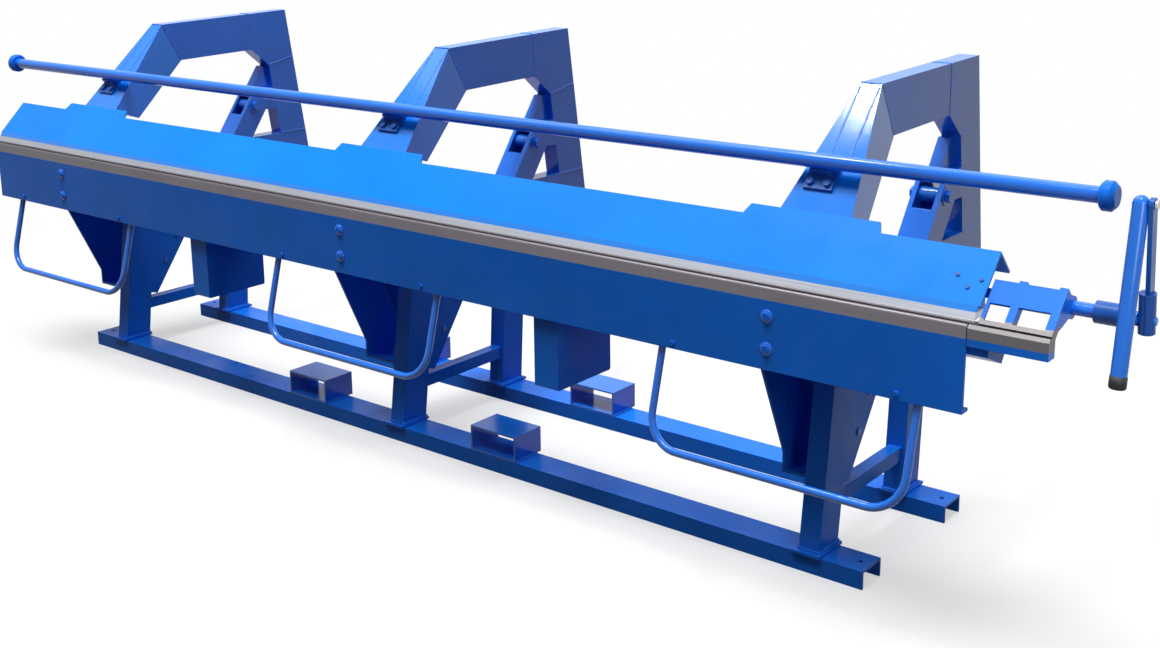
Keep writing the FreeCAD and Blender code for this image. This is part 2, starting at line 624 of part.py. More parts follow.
def make_brace(label, x):
    """A channel strut, open to the rear, with a window, a bolt's bosses and a narrow neck."""
    foot_z = f"({ARM_TOP_Z} - brace_skirt)"
    deep = "brace_depth / sin(strut_angle)"
    meet_z = meet_post_z(deep)
    shoulder = "brace_shoulder_z"
    side = [
        (strut_y(foot_z), foot_z), (f"{strut_y(foot_z)} + {deep}", foot_z),
        (post_front_y(meet_z), meet_z), (post_front_y(shoulder), shoulder),
        (strut_y(shoulder), shoulder),
    ]
    body = slab(label, side, "brace_width")
    boss = rings(body, "YZ_Plane", [(ear_y(), "ear_z")], "ear_radius")
    pad(body, boss, "brace_width + 2 * ear_rise")
    top_z = meet_post_z("brace_top_width")
    neck = [
        (strut_y(shoulder), shoulder), (post_front_y(shoulder), shoulder),
        (post_front_y(top_z), top_z), (strut_y(top_z), top_z),
    ]
    pad(body, outline(body, "YZ_Plane", neck), "brace_neck")
    web = "brace_wall / sin(strut_angle)"
    ceiling = f"({shoulder} - brace_wall)"
    below = f"({foot_z} - cut_margin)"
    hollow = [
        (f"{strut_y(ceiling)} + {web}", ceiling), (f"{strut_y(ARM_TOP_Z)} + {web}", ARM_TOP_Z),
        (BEAM_REAR_Y, ARM_TOP_Z), (BEAM_REAR_Y, below), ("frame_rear_y", below),
        ("frame_rear_y", ceiling),
    ]
    pocket(body, outline(body, "YZ_Plane", hollow), "brace_width - 2 * brace_flange")
    above = "frame_top_z"
    inside = [
        (f"{strut_y(above)} + {web}", above), (f"{strut_y(shoulder)} + {web}", shoulder),
        ("frame_rear_y", shoulder), ("frame_rear_y", above),
    ]
    pocket(body, outline(body, "YZ_Plane", inside), "brace_neck - 2 * neck_wall")
    left = "window_left - brace_width / 2"
    right = "brace_width / 2 - window_right"
    window = outline(body, "XZ_Plane", rectangle(left, right, "window_low_z", "window_high_z"))
    pocket(body, window, "4 * frame_rear_y")
    bore = rings(body, "YZ_Plane", [(ear_y(), "ear_z")], "ear_bolt / 2 + hole_clearance")
    pocket(body, bore, "2 * brace_width")
    keep(put(body, f"{x} + {BRACE_CENTRE}"), label)


def hex_bolt(name, diameter, grip, x, y, z):
    """A bolt along X with a head at each end of its grip."""
    head = f"({diameter}) * head_ratio"
    left = f"{x} - {grip} / 2 - {head}"
    shank = rod(f"{name}_shank", f"{diameter} / 2", f"{grip} + 2 * {head}", left, y, z)
    heads = []
    for start in (left, f"{x} + {grip} / 2"):
        prism = doc.addObject("Part::Prism", f"{name}_head")
        prism.Polygon = 6
        prism.setExpression("Circumradius", bind(f"{diameter} * corner_ratio"))
        prism.setExpression("Height", bind(head))
        prism.Placement.Rotation = FreeCAD.Rotation(FreeCAD.Vector(0, 1, 0), 90)
        prism.setExpression("Placement.Base.x", bind(start))
        prism.setExpression("Placement.Base.y", bind(f"({y}) - {ORIGIN_Y}"))
        prism.setExpression("Placement.Base.z", bind(f"({z}) - {ORIGIN_Z}"))
        heads.append(prism)
    return fuse(name, [shank] + heads)


def make_brace_bolts():
    bolts = [
        hex_bolt(f"brace_bolt_{side}", "ear_bolt", "(brace_width + 2 * ear_rise)",
                 f"({x} + {BRACE_CENTRE})", ear_y(), "ear_z")
        for side, x in FRAMES.items()]
    keep(group("brace_bolts", bolts), "brace_bolts")


def make_nose_arm(label, x):
    """A tapered arm: narrow at the frame, wide at its foot, with flat sides."""
    head_front = FreeCAD.Vector(0, value(HEAD_Y), value(HEAD_Z))
    head_rear = FreeCAD.Vector(0, value(ROOT_Y), value(ROOT_Z))
    foot_front = FreeCAD.Vector(0, value(FOOT_Y), value(FOOT_Z))
    foot_rear = FreeCAD.Vector(0, value("arm_heel_y"), value("arm_heel_z"))
    seam = (head_rear - head_front).normalize()
    down = FreeCAD.Vector(0, seam.z, -seam.y)
    reach_front = abs((foot_front - head_front).dot(down))
    reach_rear = abs((foot_rear - head_front).dot(down))
    head_half = value("box_width / 2")
    foot_half = value("arm_foot_width / 2")
    heel_half = head_half + (foot_half - head_half) * reach_rear / reach_front

    def ring(front, rear, front_half, rear_half):
        sides = [(front, -front_half), (front, front_half), (rear, rear_half), (rear, -rear_half)]
        places = [FreeCAD.Vector(across, point.y, point.z) for point, across in sides]
        return Part.makePolygon(places + places[:1])

    head = ring(head_front, head_rear, head_half, head_half)
    foot = ring(foot_front, foot_rear, foot_half, heel_half)
    arm = doc.addObject("Part::Feature", label)
    arm.Shape = Part.makeLoft([head, foot], True, True)
    keep(put(arm, x), label)


def make_lower_arm(label, x, span):
    """A V bracket behind the front leg: left cheek, bottom, rear wall and right plate."""
    body = new_body(label)
    centre = f"box_width / 2 - {span} / 2"
    toe = strut_y("cheek_toe_z")
    front_top = f"(cheek_front_y - ({BEAM_BOTTOM_Z} - cheek_knee_z) * cheek_run)"
    side = [
        (front_top, BEAM_BOTTOM_Z), (strut_y(BEAM_BOTTOM_Z), BEAM_BOTTOM_Z), (toe, "cheek_toe_z"),
        ("cheek_front_y", "cheek_low_z"), ("cheek_front_y", "cheek_knee_z"),
    ]
    pad(body, outline(body, "YZ_Plane", side, centre), span)
    wall = "cheek_thickness / sin(strut_angle)"
    above = "clamp_z"
    ahead = "sheet_edge_y - rail_width"
    slope = f"((cheek_low_z - cheek_toe_z) / ({toe} - cheek_front_y))"
    floor_front = f"(cheek_low_z + cheek_thickness + (cheek_front_y - ({ahead})) * {slope})"
    floor_rear_z = "(cheek_toe_z + cheek_thickness)"
    inside = [
        (ahead, floor_front), (f"{strut_y(floor_rear_z)} - {wall}", f"{floor_rear_z} + {wall} * {slope}"),
        (f"{strut_y(above)} - {wall}", above), (ahead, above),
    ]
    pocket(body, outline(body, "YZ_Plane", inside, centre), f"{span} - 2 * cheek_thickness")
    leg_rear = f"{FRONT_LEG_Y} + leg_depth"
    beside = [
        (ahead, LEG_FOOT_Z), (leg_front_y(leg_rear, "front_leg_lean", LEG_FOOT_Z), LEG_FOOT_Z),
        (leg_front_y(leg_rear, "front_leg_lean", above), above), (ahead, above),
    ]
    pocket(body, outline(body, "YZ_Plane", beside), "box_width")
    pins = [("front_link_y", "front_link_z"), ("rear_link_y", "rear_link_z")]
    bores = rings(body, "YZ_Plane", pins, "link_pin / 2 + hole_clearance", centre)
    pocket(body, bores, f"2 * {span}")
    keep(put(body, x), label)


def make_links():
    """Two bars on pins in each bracket, parallel to its front edge."""
    bars = []
    pins = []
    for side, x in FRAMES.items():
        span = BRACKETS[side]
        front_x = f"(box_width / 2 - {span} + front_link_inset)"
        places = (("front", front_x, "front_link_y", "front_link_z"),
                  ("rear", "rear_link_x", "rear_link_y", "rear_link_z"))
        for name, link_x, pin_y, pin_z in places:
            half = "link_width / 2 * sqrt(1 + cheek_run ^ 2)"
            top_y = f"({pin_y} - ({BEAM_BOTTOM_Z} - {pin_z}) * cheek_run)"
            corners = [
                (f"{pin_y} - {half}", pin_z), (f"{pin_y} + {half}", pin_z),
                (f"{top_y} + {half}", BEAM_BOTTOM_Z), (f"{top_y} - {half}", BEAM_BOTTOM_Z),
            ]
            body = slab(f"link_{name}_{side}", corners, "link_thickness")
            pad(body, rings(body, "YZ_Plane", [(pin_y, pin_z)], "link_width / 2"), "link_thickness")
            hole = rings(body, "YZ_Plane", [(pin_y, pin_z)], "link_pin / 2 + hole_clearance")
            pocket(body, hole, "2 * link_thickness")
            bars.append(put(body, f"{x} + {link_x}"))
            start = f"{x} + box_width / 2 - {span} - link_pin_end"
            pins.append(rod(f"link_pin_{name}_{side}", "link_pin / 2", f"{span} + 2 * link_pin_end",
                            start, pin_y, pin_z))
    keep(group("link_bars", bars), "link_bars")
    keep(group("link_pins", pins), "link_pins")


# Lower beam and jaw


def make_lower_beam():
    """A channel beam, open to the rear, round the ends of the frames' lower arms."""
    inner_y = f"{BEAM_FRONT_Y} + lower_wall"
    section = [
        (BEAM_FRONT_Y, BEAM_TOP_Z), (BEAM_REAR_Y, BEAM_TOP_Z), (BEAM_REAR_Y, ARM_TOP_Z),
        (inner_y, ARM_TOP_Z), (inner_y, ARM_BOTTOM_Z), (BEAM_REAR_Y, ARM_BOTTOM_Z),
        (BEAM_REAR_Y, BEAM_BOTTOM_Z), (BEAM_FRONT_Y, BEAM_BOTTOM_Z),
    ]
    keep(put(slab("lower_beam", section, "beam_length - 2 * lower_inset")), "lower_beam")


def make_jaw_bar():
    """The steel bar of the lower jaw, from the left lug to the run-out frame."""
    left = "-(beam_length / 2 + jaw_overhang)"
    length = "beam_length + jaw_overhang"
    keep(box("jaw_bar", left, JAW_FRONT_Y, BEAM_TOP_Z, length, "jaw_depth", "jaw_thickness"), "jaw_bar")


def make_pivot_lug():
    """The block in front of the jaw bar's left end that holds the left pivot pin."""
    left = "-(beam_length / 2 + jaw_overhang)"
    block = box("lug_block", left, PLATE_FRONT_Y, PLATE_TOP_Z, "lug_thickness",
                "blade_thickness + blade_gap", "blade_height")
    bore = rod("lug_bore", "pivot_diameter / 2", "lug_thickness + 2 * cut_margin",
               f"{left} - cut_margin", PIVOT_Y, PIVOT_Z)
    keep(cut("pivot_lug", block, bore), "pivot_lug")


def make_pivot_pins():
    length = "lug_thickness + pivot_gap + pivot_depth"
    left = "-(beam_length / 2 + jaw_overhang)"
    right = "beam_length / 2 - pivot_depth"
    pins = [
        rod("pivot_pin_left", "pivot_diameter / 2", length, left, PIVOT_Y, PIVOT_Z),
        rod("pivot_pin_right", "pivot_diameter / 2", length, right, PIVOT_Y, PIVOT_Z),
    ]
    keep(group("pivot_pins", pins), "pivot_pins")


def make_runout_frame():
    """The bar past the lower jaw, the sloping plate with two windows and the shaft's bearing."""
    body = new_body("runout_frame")
    start = "(beam_length / 2 + pivot_gap)"
    end = "(beam_length / 2 + pivot_gap + runout_length)"
    plate_start = f"({SHEET_LENGTH} / 2 + runout_gap)"
    bar_rear = f"{JAW_FRONT_Y} + jaw_depth - runout_bar_short"
    bar = [
        on_slope(PLATE_FRONT_Y, RUNOUT_LOW_Z), on_slope(bar_rear, RUNOUT_LOW_Z),
        on_slope(bar_rear, "clamp_z"),
        on_slope(f"{PLATE_FRONT_Y} + blade_thickness / 2", "clamp_z"),
        on_slope(PLATE_FRONT_Y, PIVOT_Z),
    ]
    bar_centre = f"({start} + {end}) / 2"
    pad(body, outline(body, "YZ_Plane", bar, bar_centre), f"{end} - {start}")
    face = "-runout_offset"
    back = "-(runout_offset + runout_plate)"
    lower = "((clamp_z - sheet_edge_z) / sin(sheet_slope) + runout_offset + runout_plate - runout_foot)"
    plate = rectangle(plate_start, end, lower, "runout_top")
    sheet_sketch = outline(body, "XY_Plane", plate, f"({face} + {back}) / 2")
    pad(body, sheet_sketch, "runout_plate")
    sill = f"{lower} + runout_sill"
    head = "runout_top - runout_rail"
    middle = f"{plate_start} + rung_middle"
    windows = [
        rectangle(f"{plate_start} + rung_inner", middle, sill, head),
        rectangle(f"{middle} + rung_middle_width", f"{end} - rung_width", sill, head),
    ]
    pocket(body, outlines(body, "XY_Plane", windows, f"({face} + {back}) / 2"), "3 * runout_plate")
    tip = "(runout_top + rung_rise)"
    rungs = [
        rectangle(middle, f"{middle} + rung_middle_width", lower, tip),
        rectangle(f"{end} - rung_width", end, lower, tip),
    ]
    pad(body, outlines(body, "XY_Plane", rungs, f"{face} - rung_depth / 2"), "rung_depth")
    along, out = on_slope("shaft_y", "shaft_z")
    radius = "(shaft_diameter / 2 + bearing_wall)"
    cheek = [
        (lower, back), ("runout_top", back), (f"{along} + {radius}", out),
        (f"{along} - {radius}", out), (f"{along} - {radius} - cheek_nose", f"{out} + cheek_rise"),
    ]
    cheek_centre = f"{end} - rung_width / 2"
    pad(body, outline(body, "YZ_Plane", cheek, cheek_centre), "rung_width")
    pad(body, rings(body, "YZ_Plane", [(along, out)], radius, cheek_centre), "rung_width")
    bearing = rings(body, "YZ_Plane", [(along, out)], "shaft_diameter / 2 + bore_clearance", cheek_centre)
    pocket(body, bearing, "2 * rung_width")
    pin_hole = rings(body, "YZ_Plane", [on_slope(PIVOT_Y, PIVOT_Z)], "pivot_diameter / 2",
                     f"{start} + lug_thickness / 2")
    pocket(body, pin_hole, "lug_thickness")
    keep(put(body, "0", "sheet_edge_y", "sheet_edge_z", "sheet_slope"), "runout_frame")


def make_runout_bracket():
    """The slanted bracket from the lower beam's end to under the run-out frame's bar."""
    low = f"({PLATE_TOP_Z} - bracket_drop)"
    corners = [
        (JAW_FRONT_Y, RUNOUT_LOW_Z), (JAW_FRONT_Y, f"{low} + bracket_front_rise"),
        (f"{JAW_FRONT_Y} + bracket_toe", low),
        (f"{JAW_FRONT_Y} + bracket_depth", f"{low} + bracket_rear_rise"),
        (f"{JAW_FRONT_Y} + bracket_depth", RUNOUT_LOW_Z),
    ]
    body = slab("runout_bracket", corners, "lower_inset + bracket_reach")
    keep(put(body, "(beam_length + bracket_reach - lower_inset) / 2"), "runout_bracket")


# Front tube


def make_front_tube():
    left = "-(beam_length / 2 + tube_left)"
    length = "beam_length + tube_left + tube_right"
    outer = rod("tube_outer", "tube_diameter / 2", length, left, "tube_y", "tube_z")
    inner = rod("tube_inner", "tube_diameter / 2 - tube_wall", f"{length} + 2 * cut_margin",
                f"{left} - cut_margin", "tube_y", "tube_z")
    keep(cut("front_tube", outer, inner), "front_tube")


def make_end_caps():
    """Turned caps with a bevelled rim and a spigot inside the tube."""
    caps = []
    rim = "cap_diameter / 2"
    plug = "tube_diameter / 2 - tube_wall"
    profile = [
        ("-cap_spigot", "0"), ("-cap_spigot", plug), ("0", plug), ("0", f"{rim} - cap_bevel / 2"),
        ("cap_bevel / 2", rim), ("cap_length - cap_bevel", rim), ("cap_length", f"{rim} - cap_bevel"),
        ("cap_length", "0"),
    ]
    for side, sign in (("left", "-1"), ("right", "1")):
        body = new_body(f"cap_{side}")
        corners = [(f"{sign} * ({across})", up) for across, up in profile]
        sketch = outline(body, "XZ_Plane", corners)
        turn = body.newObject("PartDesign::Revolution", "Revolution")
        turn.Profile = sketch
        turn.ReferenceAxis = (sketch, ["H_Axis"])
        turn.Angle = 360
        caps.append(put(body, f"{sign} * (beam_length / 2 + tube_{side})", "tube_y", "tube_z"))
    keep(group("tube_end_caps", caps), "tube_end_caps")


def bracket_frame():
    """Foot of the tube's axis on the nose arm's face, and the axis's height above it."""
    across = f"(tube_y - {FOOT_Y})"
    up = f"(tube_z - {FOOT_Z})"
    along = f"({across} * cos({ARM_ANGLE}) + {up} * sin({ARM_ANGLE}))"
    height = f"({up} * cos({ARM_ANGLE}) - {across} * sin({ARM_ANGLE}))"
    return f"({FOOT_Y} + {along} * cos({ARM_ANGLE}))", f"({FOOT_Z} + {along} * sin({ARM_ANGLE}))", height


def make_tube_brackets():
    """Saddles on the nose arms: a base plate with two bolt holes and a grooved block."""
    foot_y, foot_z, height = bracket_frame()
    brackets = []
    for side, x in FRAMES.items():
        body = new_body(f"bracket_{side}")
        base = rectangle("-bracket_lower", "bracket_upper", "0", "bracket_plate")
        pad(body, outline(body, "YZ_Plane", base), "bracket_width")
        block = rectangle("-saddle_length / 2", "saddle_length / 2", "bracket_plate / 2",
                          f"{height} - saddle_drop")
        pad(body, outline(body, "YZ_Plane", block), "saddle_width")
        groove = rings(body, "YZ_Plane", [("0", height)], "tube_diameter / 2")
        pocket(body, groove, "2 * saddle_width")
        places = [("-bracket_bolt_x", "-bracket_bolt_drop"), ("bracket_bolt_x", "-bracket_bolt_drop")]
        holes = rings(body, "XY_Plane", places, "bracket_bolt / 2 + hole_clearance")
        pocket(body, holes, "3 * bracket_plate")
        brackets.append(put(body, f"{x} + bracket_shift", foot_y, foot_z, ARM_ANGLE))
    keep(group("tube_brackets", brackets), "tube_brackets")


def make_bracket_bolts():
    """Hexagon-headed bolts in the brackets' base plates."""
    foot_y, foot_z = bracket_frame()[:2]
    bolts = []
    for x in FRAMES.values():
        for sign in ("-1", "1"):
            head = doc.addObject("Part::Prism", "bolt_head")
            head.Polygon = 6
            head.setExpression("Circumradius", bind("bracket_bolt * corner_ratio"))
            head.setExpression("Height", bind("bracket_bolt * head_ratio"))
            head.setExpression("Placement.Base.z", bind("bracket_plate"))
            shank = doc.addObject("Part::Cylinder", "bolt_shank")
            shank.setExpression("Radius", bind("bracket_bolt / 2"))
            shank.setExpression("Height", bind("bracket_plate"))
            bolt = fuse("bracket_bolt", [head, shank])
            drop_y = f"({foot_y} - bracket_bolt_drop * cos({ARM_ANGLE}))"
            drop_z = f"({foot_z} - bracket_bolt_drop * sin({ARM_ANGLE}))"
            centre = f"{x} + bracket_shift + {sign} * bracket_bolt_x"
            bolts.append(put(bolt, centre, drop_y, drop_z, ARM_ANGLE))
    keep(group("bracket_bolts", bolts), "bracket_bolts")


# Upper clamping beam


def make_upper_sheet():
    """A folded sheet: sloping front with a tab at each frame, and a flange cut away there."""
    body = new_body("upper_sheet")
    half = f"{SHEET_LENGTH} / 2"
    tab_top = "sheet_height + tab_height"
    edge = [(f"-{half}", "0"), (half, "0"), (half, "sheet_height")]
    for x in reversed(FRAMES.values()):
        edge += [
            (f"{x} + tab_width / 2 + tab_taper", "sheet_height"), (f"{x} + tab_width / 2", tab_top),
            (f"{x} - tab_width / 2", tab_top), (f"{x} - tab_width / 2 - tab_taper", "sheet_height"),
        ]
    edge.append((f"-{half}", "sheet_height"))
    pad(body, outline(body, "XY_Plane", edge, "-sheet_thickness / 2"), "sheet_thickness")
    stops = [f"-{half}"]
    for x in FRAMES.values():
        stops += [f"{x} - tab_width / 2 - tab_taper", f"{x} + tab_width / 2 + tab_taper"]
    stops.append(half)
    strips = [
        rectangle(stops[index], stops[index + 1], "-flange_depth", "0")
        for index in range(0, len(stops), 2)]
    flange_centre = "-(sheet_height - sheet_thickness / 2)"
    pad(body, outlines(body, "XZ_Plane", strips, flange_centre), "sheet_thickness")
    keep(put(body, "0", "sheet_edge_y", "sheet_edge_z", "sheet_slope"), "upper_sheet")


def nose_heel():
    """Rear upper corner of the bevel behind the nose bar's underside."""
    y = "(sheet_edge_y - nose_reach + nose_nib + nose_depth + nose_heel)"
    return y, "(clamp_z + clamp_gap + nose_heel)"


def make_nose_bar():
    """The polished bar under the sheet's edge whose flat underside clamps the work."""
    under = "clamp_z + clamp_gap"
    corners = [
        ("sheet_edge_y", "sheet_edge_z"),
        ("sheet_edge_y - nose_reach", "sheet_edge_z - nose_drop"),
        ("sheet_edge_y - nose_reach + nose_nib", under),
        ("sheet_edge_y - nose_reach + nose_nib + nose_depth", under), nose_heel(),
        (slope_y("nose_back", "-sheet_thickness"), slope_z("nose_back", "-sheet_thickness")),
        (slope_y("0", "-sheet_thickness"), slope_z("0", "-sheet_thickness")),
    ]
    keep(put(slab("nose_bar", corners, "beam_length + 2 * nose_overhang")), "nose_bar")


def make_yokes():
    """Hooks under the sheet, each with a slot across the slope for its cam."""
    along, out = on_slope("shaft_y", "shaft_z")
    cam_along = f"({along} - cam_throw)"
    slot_low = f"({cam_along} - cam_diameter / 2 - yoke_lower_gap)"
    slot_high = f"({cam_along} + cam_diameter / 2 + yoke_upper_gap)"
    slot_end = f"({out} + cam_diameter / 2 + yoke_end_gap)"
    limit = "((clamp_z + clamp_gap + yoke_foot_gap - sheet_edge_z) / sin(sheet_slope))"
    upper_end = f"({out} - yoke_upper_depth)"
    corners = [
        ("nose_back", "-sheet_thickness"), on_slope(*nose_heel()),
        (slot_low, f"{limit} - {slot_low}"), (slot_low, slot_end), (slot_high, slot_end),
        (slot_high, upper_end), (f"{slot_high} + yoke_wall", upper_end),
        (f"{slot_high} + yoke_wall", "-sheet_thickness"),
    ]
    yokes = []
    for side, x in FRAMES.items():
        body = slab(f"yoke_{side}", corners, "yoke_width")
        yokes.append(put(body, f"{x} + cam_x", "sheet_edge_y", "sheet_edge_z", "sheet_slope"))
    keep(group("lift_yokes", yokes), "lift_yokes")


def make_end_screws():
    """Screw heads near the sheet's right end."""
    screws = []
    for which in ("inner", "middle", "outer"):
        head = doc.addObject("Part::Cylinder", "screw_head")
        head.setExpression("Radius", bind("screw_diameter / 2"))
        head.setExpression("Height", bind("screw_height"))
        rise = f"{which}_screw_rise"
        screws.append(put(head, f"{SHEET_LENGTH} / 2 - {which}_screw_inset", slope_y(rise, "0"),
                          slope_z(rise, "0"), "sheet_slope"))
    keep(group("end_screws", screws), "end_screws")


# Clamping shaft and crank


def make_clamp_shaft():
    """A stepped shaft, turned in one piece."""
    body = new_body("clamp_shaft")
    thin = "shaft_inner / 2"
    thick = "shaft_diameter / 2"
    seat = "shaft_seat / 2"
    start = f"-({FRAME_PITCH} + shaft_tail)"
    step = f"({SHAFT_END} - shaft_thick)"
    shoulder = f"({HUB_X} - hub_diameter / 2)"
    profile = [
        (start, "0"), (start, f"{thin} - shaft_bevel"), (f"{start} + shaft_bevel", thin),
        (step, thin), (step, thick), (shoulder, thick), (shoulder, seat),
        (f"{SHAFT_END} - shaft_bevel", seat), (SHAFT_END, f"{seat} - shaft_bevel"), (SHAFT_END, "0"),
    ]
    sketch = outline(body, "XZ_Plane", profile)
    turn = body.newObject("PartDesign::Revolution", "Revolution")
    turn.Profile = sketch
    turn.ReferenceAxis = (sketch, ["H_Axis"])
    turn.Angle = 360
    keep(put(body, "0", "shaft_y", "shaft_z"), "clamp_shaft")


def make_cams():
    """Eccentric discs on the shaft, one beside each hanger."""
    cams = []
    for side, x in FRAMES.items():
        start = f"{x} + cam_x - cam_width / 2"
        disc_y = "shaft_y - cam_throw * cos(sheet_slope)"
        disc_z = "shaft_z - cam_throw * sin(sheet_slope)"
        disc = rod(f"disc_{side}", "cam_diameter / 2", "cam_width", start, disc_y, disc_z)
        bore = rod(f"disc_bore_{side}", "shaft_inner / 2", "cam_width + 2 * cut_margin",
                   f"{start} - cut_margin", "shaft_y", "shaft_z")
        cams.append(cut(f"cam_{side}", disc, bore))
    keep(group("lift_cams", cams), "lift_cams")


def make_hangers():
    """Plates under the nose arms with the shaft's bearings."""
    fall = f"(arm_heel_z - {FOOT_Z}) / (arm_heel_y - {FOOT_Y})"
    rear_y = f"({FOOT_Y} + hanger_root)"
    hangers = []
    for side, x in FRAMES.items():
        corners = [
            (FOOT_Y, FOOT_Z), ("shaft_y - hanger_radius", "shaft_z"),
            ("shaft_y + hanger_radius", "shaft_z"), (rear_y, f"{FOOT_Z} + hanger_root * {fall}"),
        ]
        body = slab(f"hanger_{side}", corners, "hanger_width")
        ring = rings(body, "YZ_Plane", [("shaft_y", "shaft_z")], "hanger_radius")
        pad(body, ring, "hanger_width")
        bore = rings(body, "YZ_Plane", [("shaft_y", "shaft_z")], "shaft_inner / 2 + bore_clearance")
        pocket(body, bore, "2 * hanger_width")
        hangers.append(put(body, x))
    keep(group("crank_hangers", hangers), "crank_hangers")


def make_sleeve():
    start = f"{SHAFT_END} - sleeve_inset"
    outer = rod("sleeve_outer", "sleeve_diameter / 2", "sleeve_length", start, "shaft_y", "shaft_z")
    inner = rod("sleeve_inner", "shaft_diameter / 2", "sleeve_length + 2 * cut_margin",
                f"{start} - cut_margin", "shaft_y", "shaft_z")
    keep(cut("crank_sleeve", outer, inner), "crank_sleeve")


def make_crank_hub():
    """The upright socket on the shaft's end that holds the crank arm."""
    body = new_body("crank_hub")
    centre = "(hub_above - hub_below) / 2"
    disc = rings(body, "XY_Plane", [("0", "0")], "hub_diameter / 2", centre)
    pad(body, disc, "hub_above + hub_below")
    bore = rings(body, "YZ_Plane", [("0", "0")], "shaft_seat / 2")
    pocket(body, bore, "2 * hub_diameter")
    keep(put(body, HUB_X, "shaft_y", "shaft_z", "crank_lean"), "crank_hub")


def arm_x():
    """Centre of the crank arm: beside the handle tube, over the hub."""
    return f"({HUB_X} - hub_diameter / 2 + arm_inset + arm_thickness / 2)"


def handle_x():
    return f"({arm_x()} - arm_thickness / 2 - arm_gap - handle_diameter / 2)"


def make_crank_arm():
    """A flat bar with a round end, up from the hub to the handle's pin."""
    half = "arm_width / 2"
    corners = rectangle(f"-{half}", half, "hub_above", "arm_length")
    body = slab("crank_arm", corners, "arm_thickness")
    pad(body, rings(body, "YZ_Plane", [("0", "arm_length")], half), "arm_thickness")
    hole = rings(body, "YZ_Plane", [("0", "arm_length")], "handle_pin / 2 + pin_clearance")
    pocket(body, hole, "2 * arm_thickness")
    keep(put(body, arm_x(), "shaft_y", "shaft_z", "crank_lean"), "crank_arm")


HANDLE_Y = "(shaft_y - arm_length * sin(crank_lean))"
HANDLE_Z = "(shaft_z + arm_length * cos(crank_lean))"


def upright(name, kind, radius, height, low):
    """A cylinder along Z in its own frame."""
    item = doc.addObject(kind, name)
    item.setExpression("Radius", bind(radius))
    item.setExpression("Height", bind(height))
    item.setExpression("Placement.Base.z", bind(low))
    return item


def make_handle_tube():
    """A tube with a domed top, open below, that hangs from its pin."""
    radius = "handle_diameter / 2"
    outer = upright("handle_outer", "Part::Cylinder", radius, "handle_length", "-handle_length")
    dome = doc.addObject("Part::Sphere", "handle_dome")
    dome.setExpression("Radius", bind(radius))
    solid = fuse("handle_solid", [outer, dome])
    inner = upright("handle_inner", "Part::Cylinder", f"{radius} - handle_wall",
                    "handle_length - handle_diameter / 2", "-handle_length")
    hollow = cut("handle_hollow", solid, inner)
    bore = rod("handle_bore", "handle_pin / 2", "2 * handle_diameter", "-handle_diameter",
               "0", "0", placed=False)
    tube = cut("handle_tube", hollow, bore)
    keep(put(tube, handle_x(), HANDLE_Y, HANDLE_Z, "-handle_lean"), "handle_tube")


def make_handle_plug():
    plug = upright("handle_plug", "Part::Cylinder", "handle_diameter / 2 - handle_wall", "plug_length",
                   "0")
    reach = "(handle_length - plug_recess)"
    y = f"{HANDLE_Y} - {reach} * sin(handle_lean)"
    z = f"{HANDLE_Z} - {reach} * cos(handle_lean)"
    keep(put(plug, handle_x(), y, z, "-handle_lean"), "handle_plug")


def make_handle_pin():
    """The headed pin through the handle's top and the crank arm."""
    left = f"{handle_x()} - handle_diameter / 2"
    right = f"{arm_x()} + arm_thickness / 2"
    length = f"({right}) - ({left}) + 2 * pin_play"
    shank = rod("handle_shank", "handle_pin / 2", length, left, HANDLE_Y, HANDLE_Z)
    head = rod("handle_head", "pin_head / 2", "pin_head_length", f"{right} + pin_play",
               HANDLE_Y, HANDLE_Z)
    keep(fuse("handle_pin", [shank, head]), "handle_pin")


# Bending beam


def make_bending_plate():
    """The apron of the bending beam, with a return flange notched at the balance boxes."""
    rear = f"({PLATE_FRONT_Y} + plate_thickness)"
    body = new_body("bending_plate")
    apron = rectangle(PLATE_FRONT_Y, rear, PLATE_BOTTOM_Z, PLATE_TOP_Z)
    pad(body, outline(body, "YZ_Plane", apron), "beam_length")
    flange_rear = f"({PLATE_FRONT_Y} + plate_return)"
    notch = f"({BALANCE_X} - housing_width / 2 - housing_room)"
    beyond = f"({BALANCE_X} + housing_width / 2 + housing_room)"
    spans = (("-beam_length / 2", f"-{beyond}"), (f"-{notch}", notch), (beyond, "beam_length / 2"))
    strips = [rectangle(left, right, rear, flange_rear) for left, right in spans]
    level = f"{PLATE_BOTTOM_Z} + plate_thickness / 2"
    pad(body, outlines(body, "XY_Plane", strips, level), "plate_thickness")
    places = bolt_places()
    for radius, centres in places:
        holes = rings(body, "XZ_Plane", centres, f"{radius} / 2 + hole_clearance")
        pocket(body, holes, "4 * plate_return + 4 * abs(sheet_edge_y)")
    keep(put(body), "bending_plate")


def bolt_places():
    """Bolts in the plate: a pair by each frame, and two beside each loop's ends."""
    pairs = []
    small = []
    for x in FRAMES.values():
        for drop in ("upper_bolt_drop", "lower_bolt_drop"):
            pairs.append((f"{x} + beam_bolt_x", f"{PLATE_TOP_Z} - {drop}"))
        for sign in ("-1", "1"):
            across = f"{x} + {sign} * (loop_span / 2 - loop_bolt_x)"
            small.append((across, f"{PLATE_BOTTOM_Z} + loop_bolt_rise"))
    return (("beam_bolt", pairs), ("loop_bolt", small))


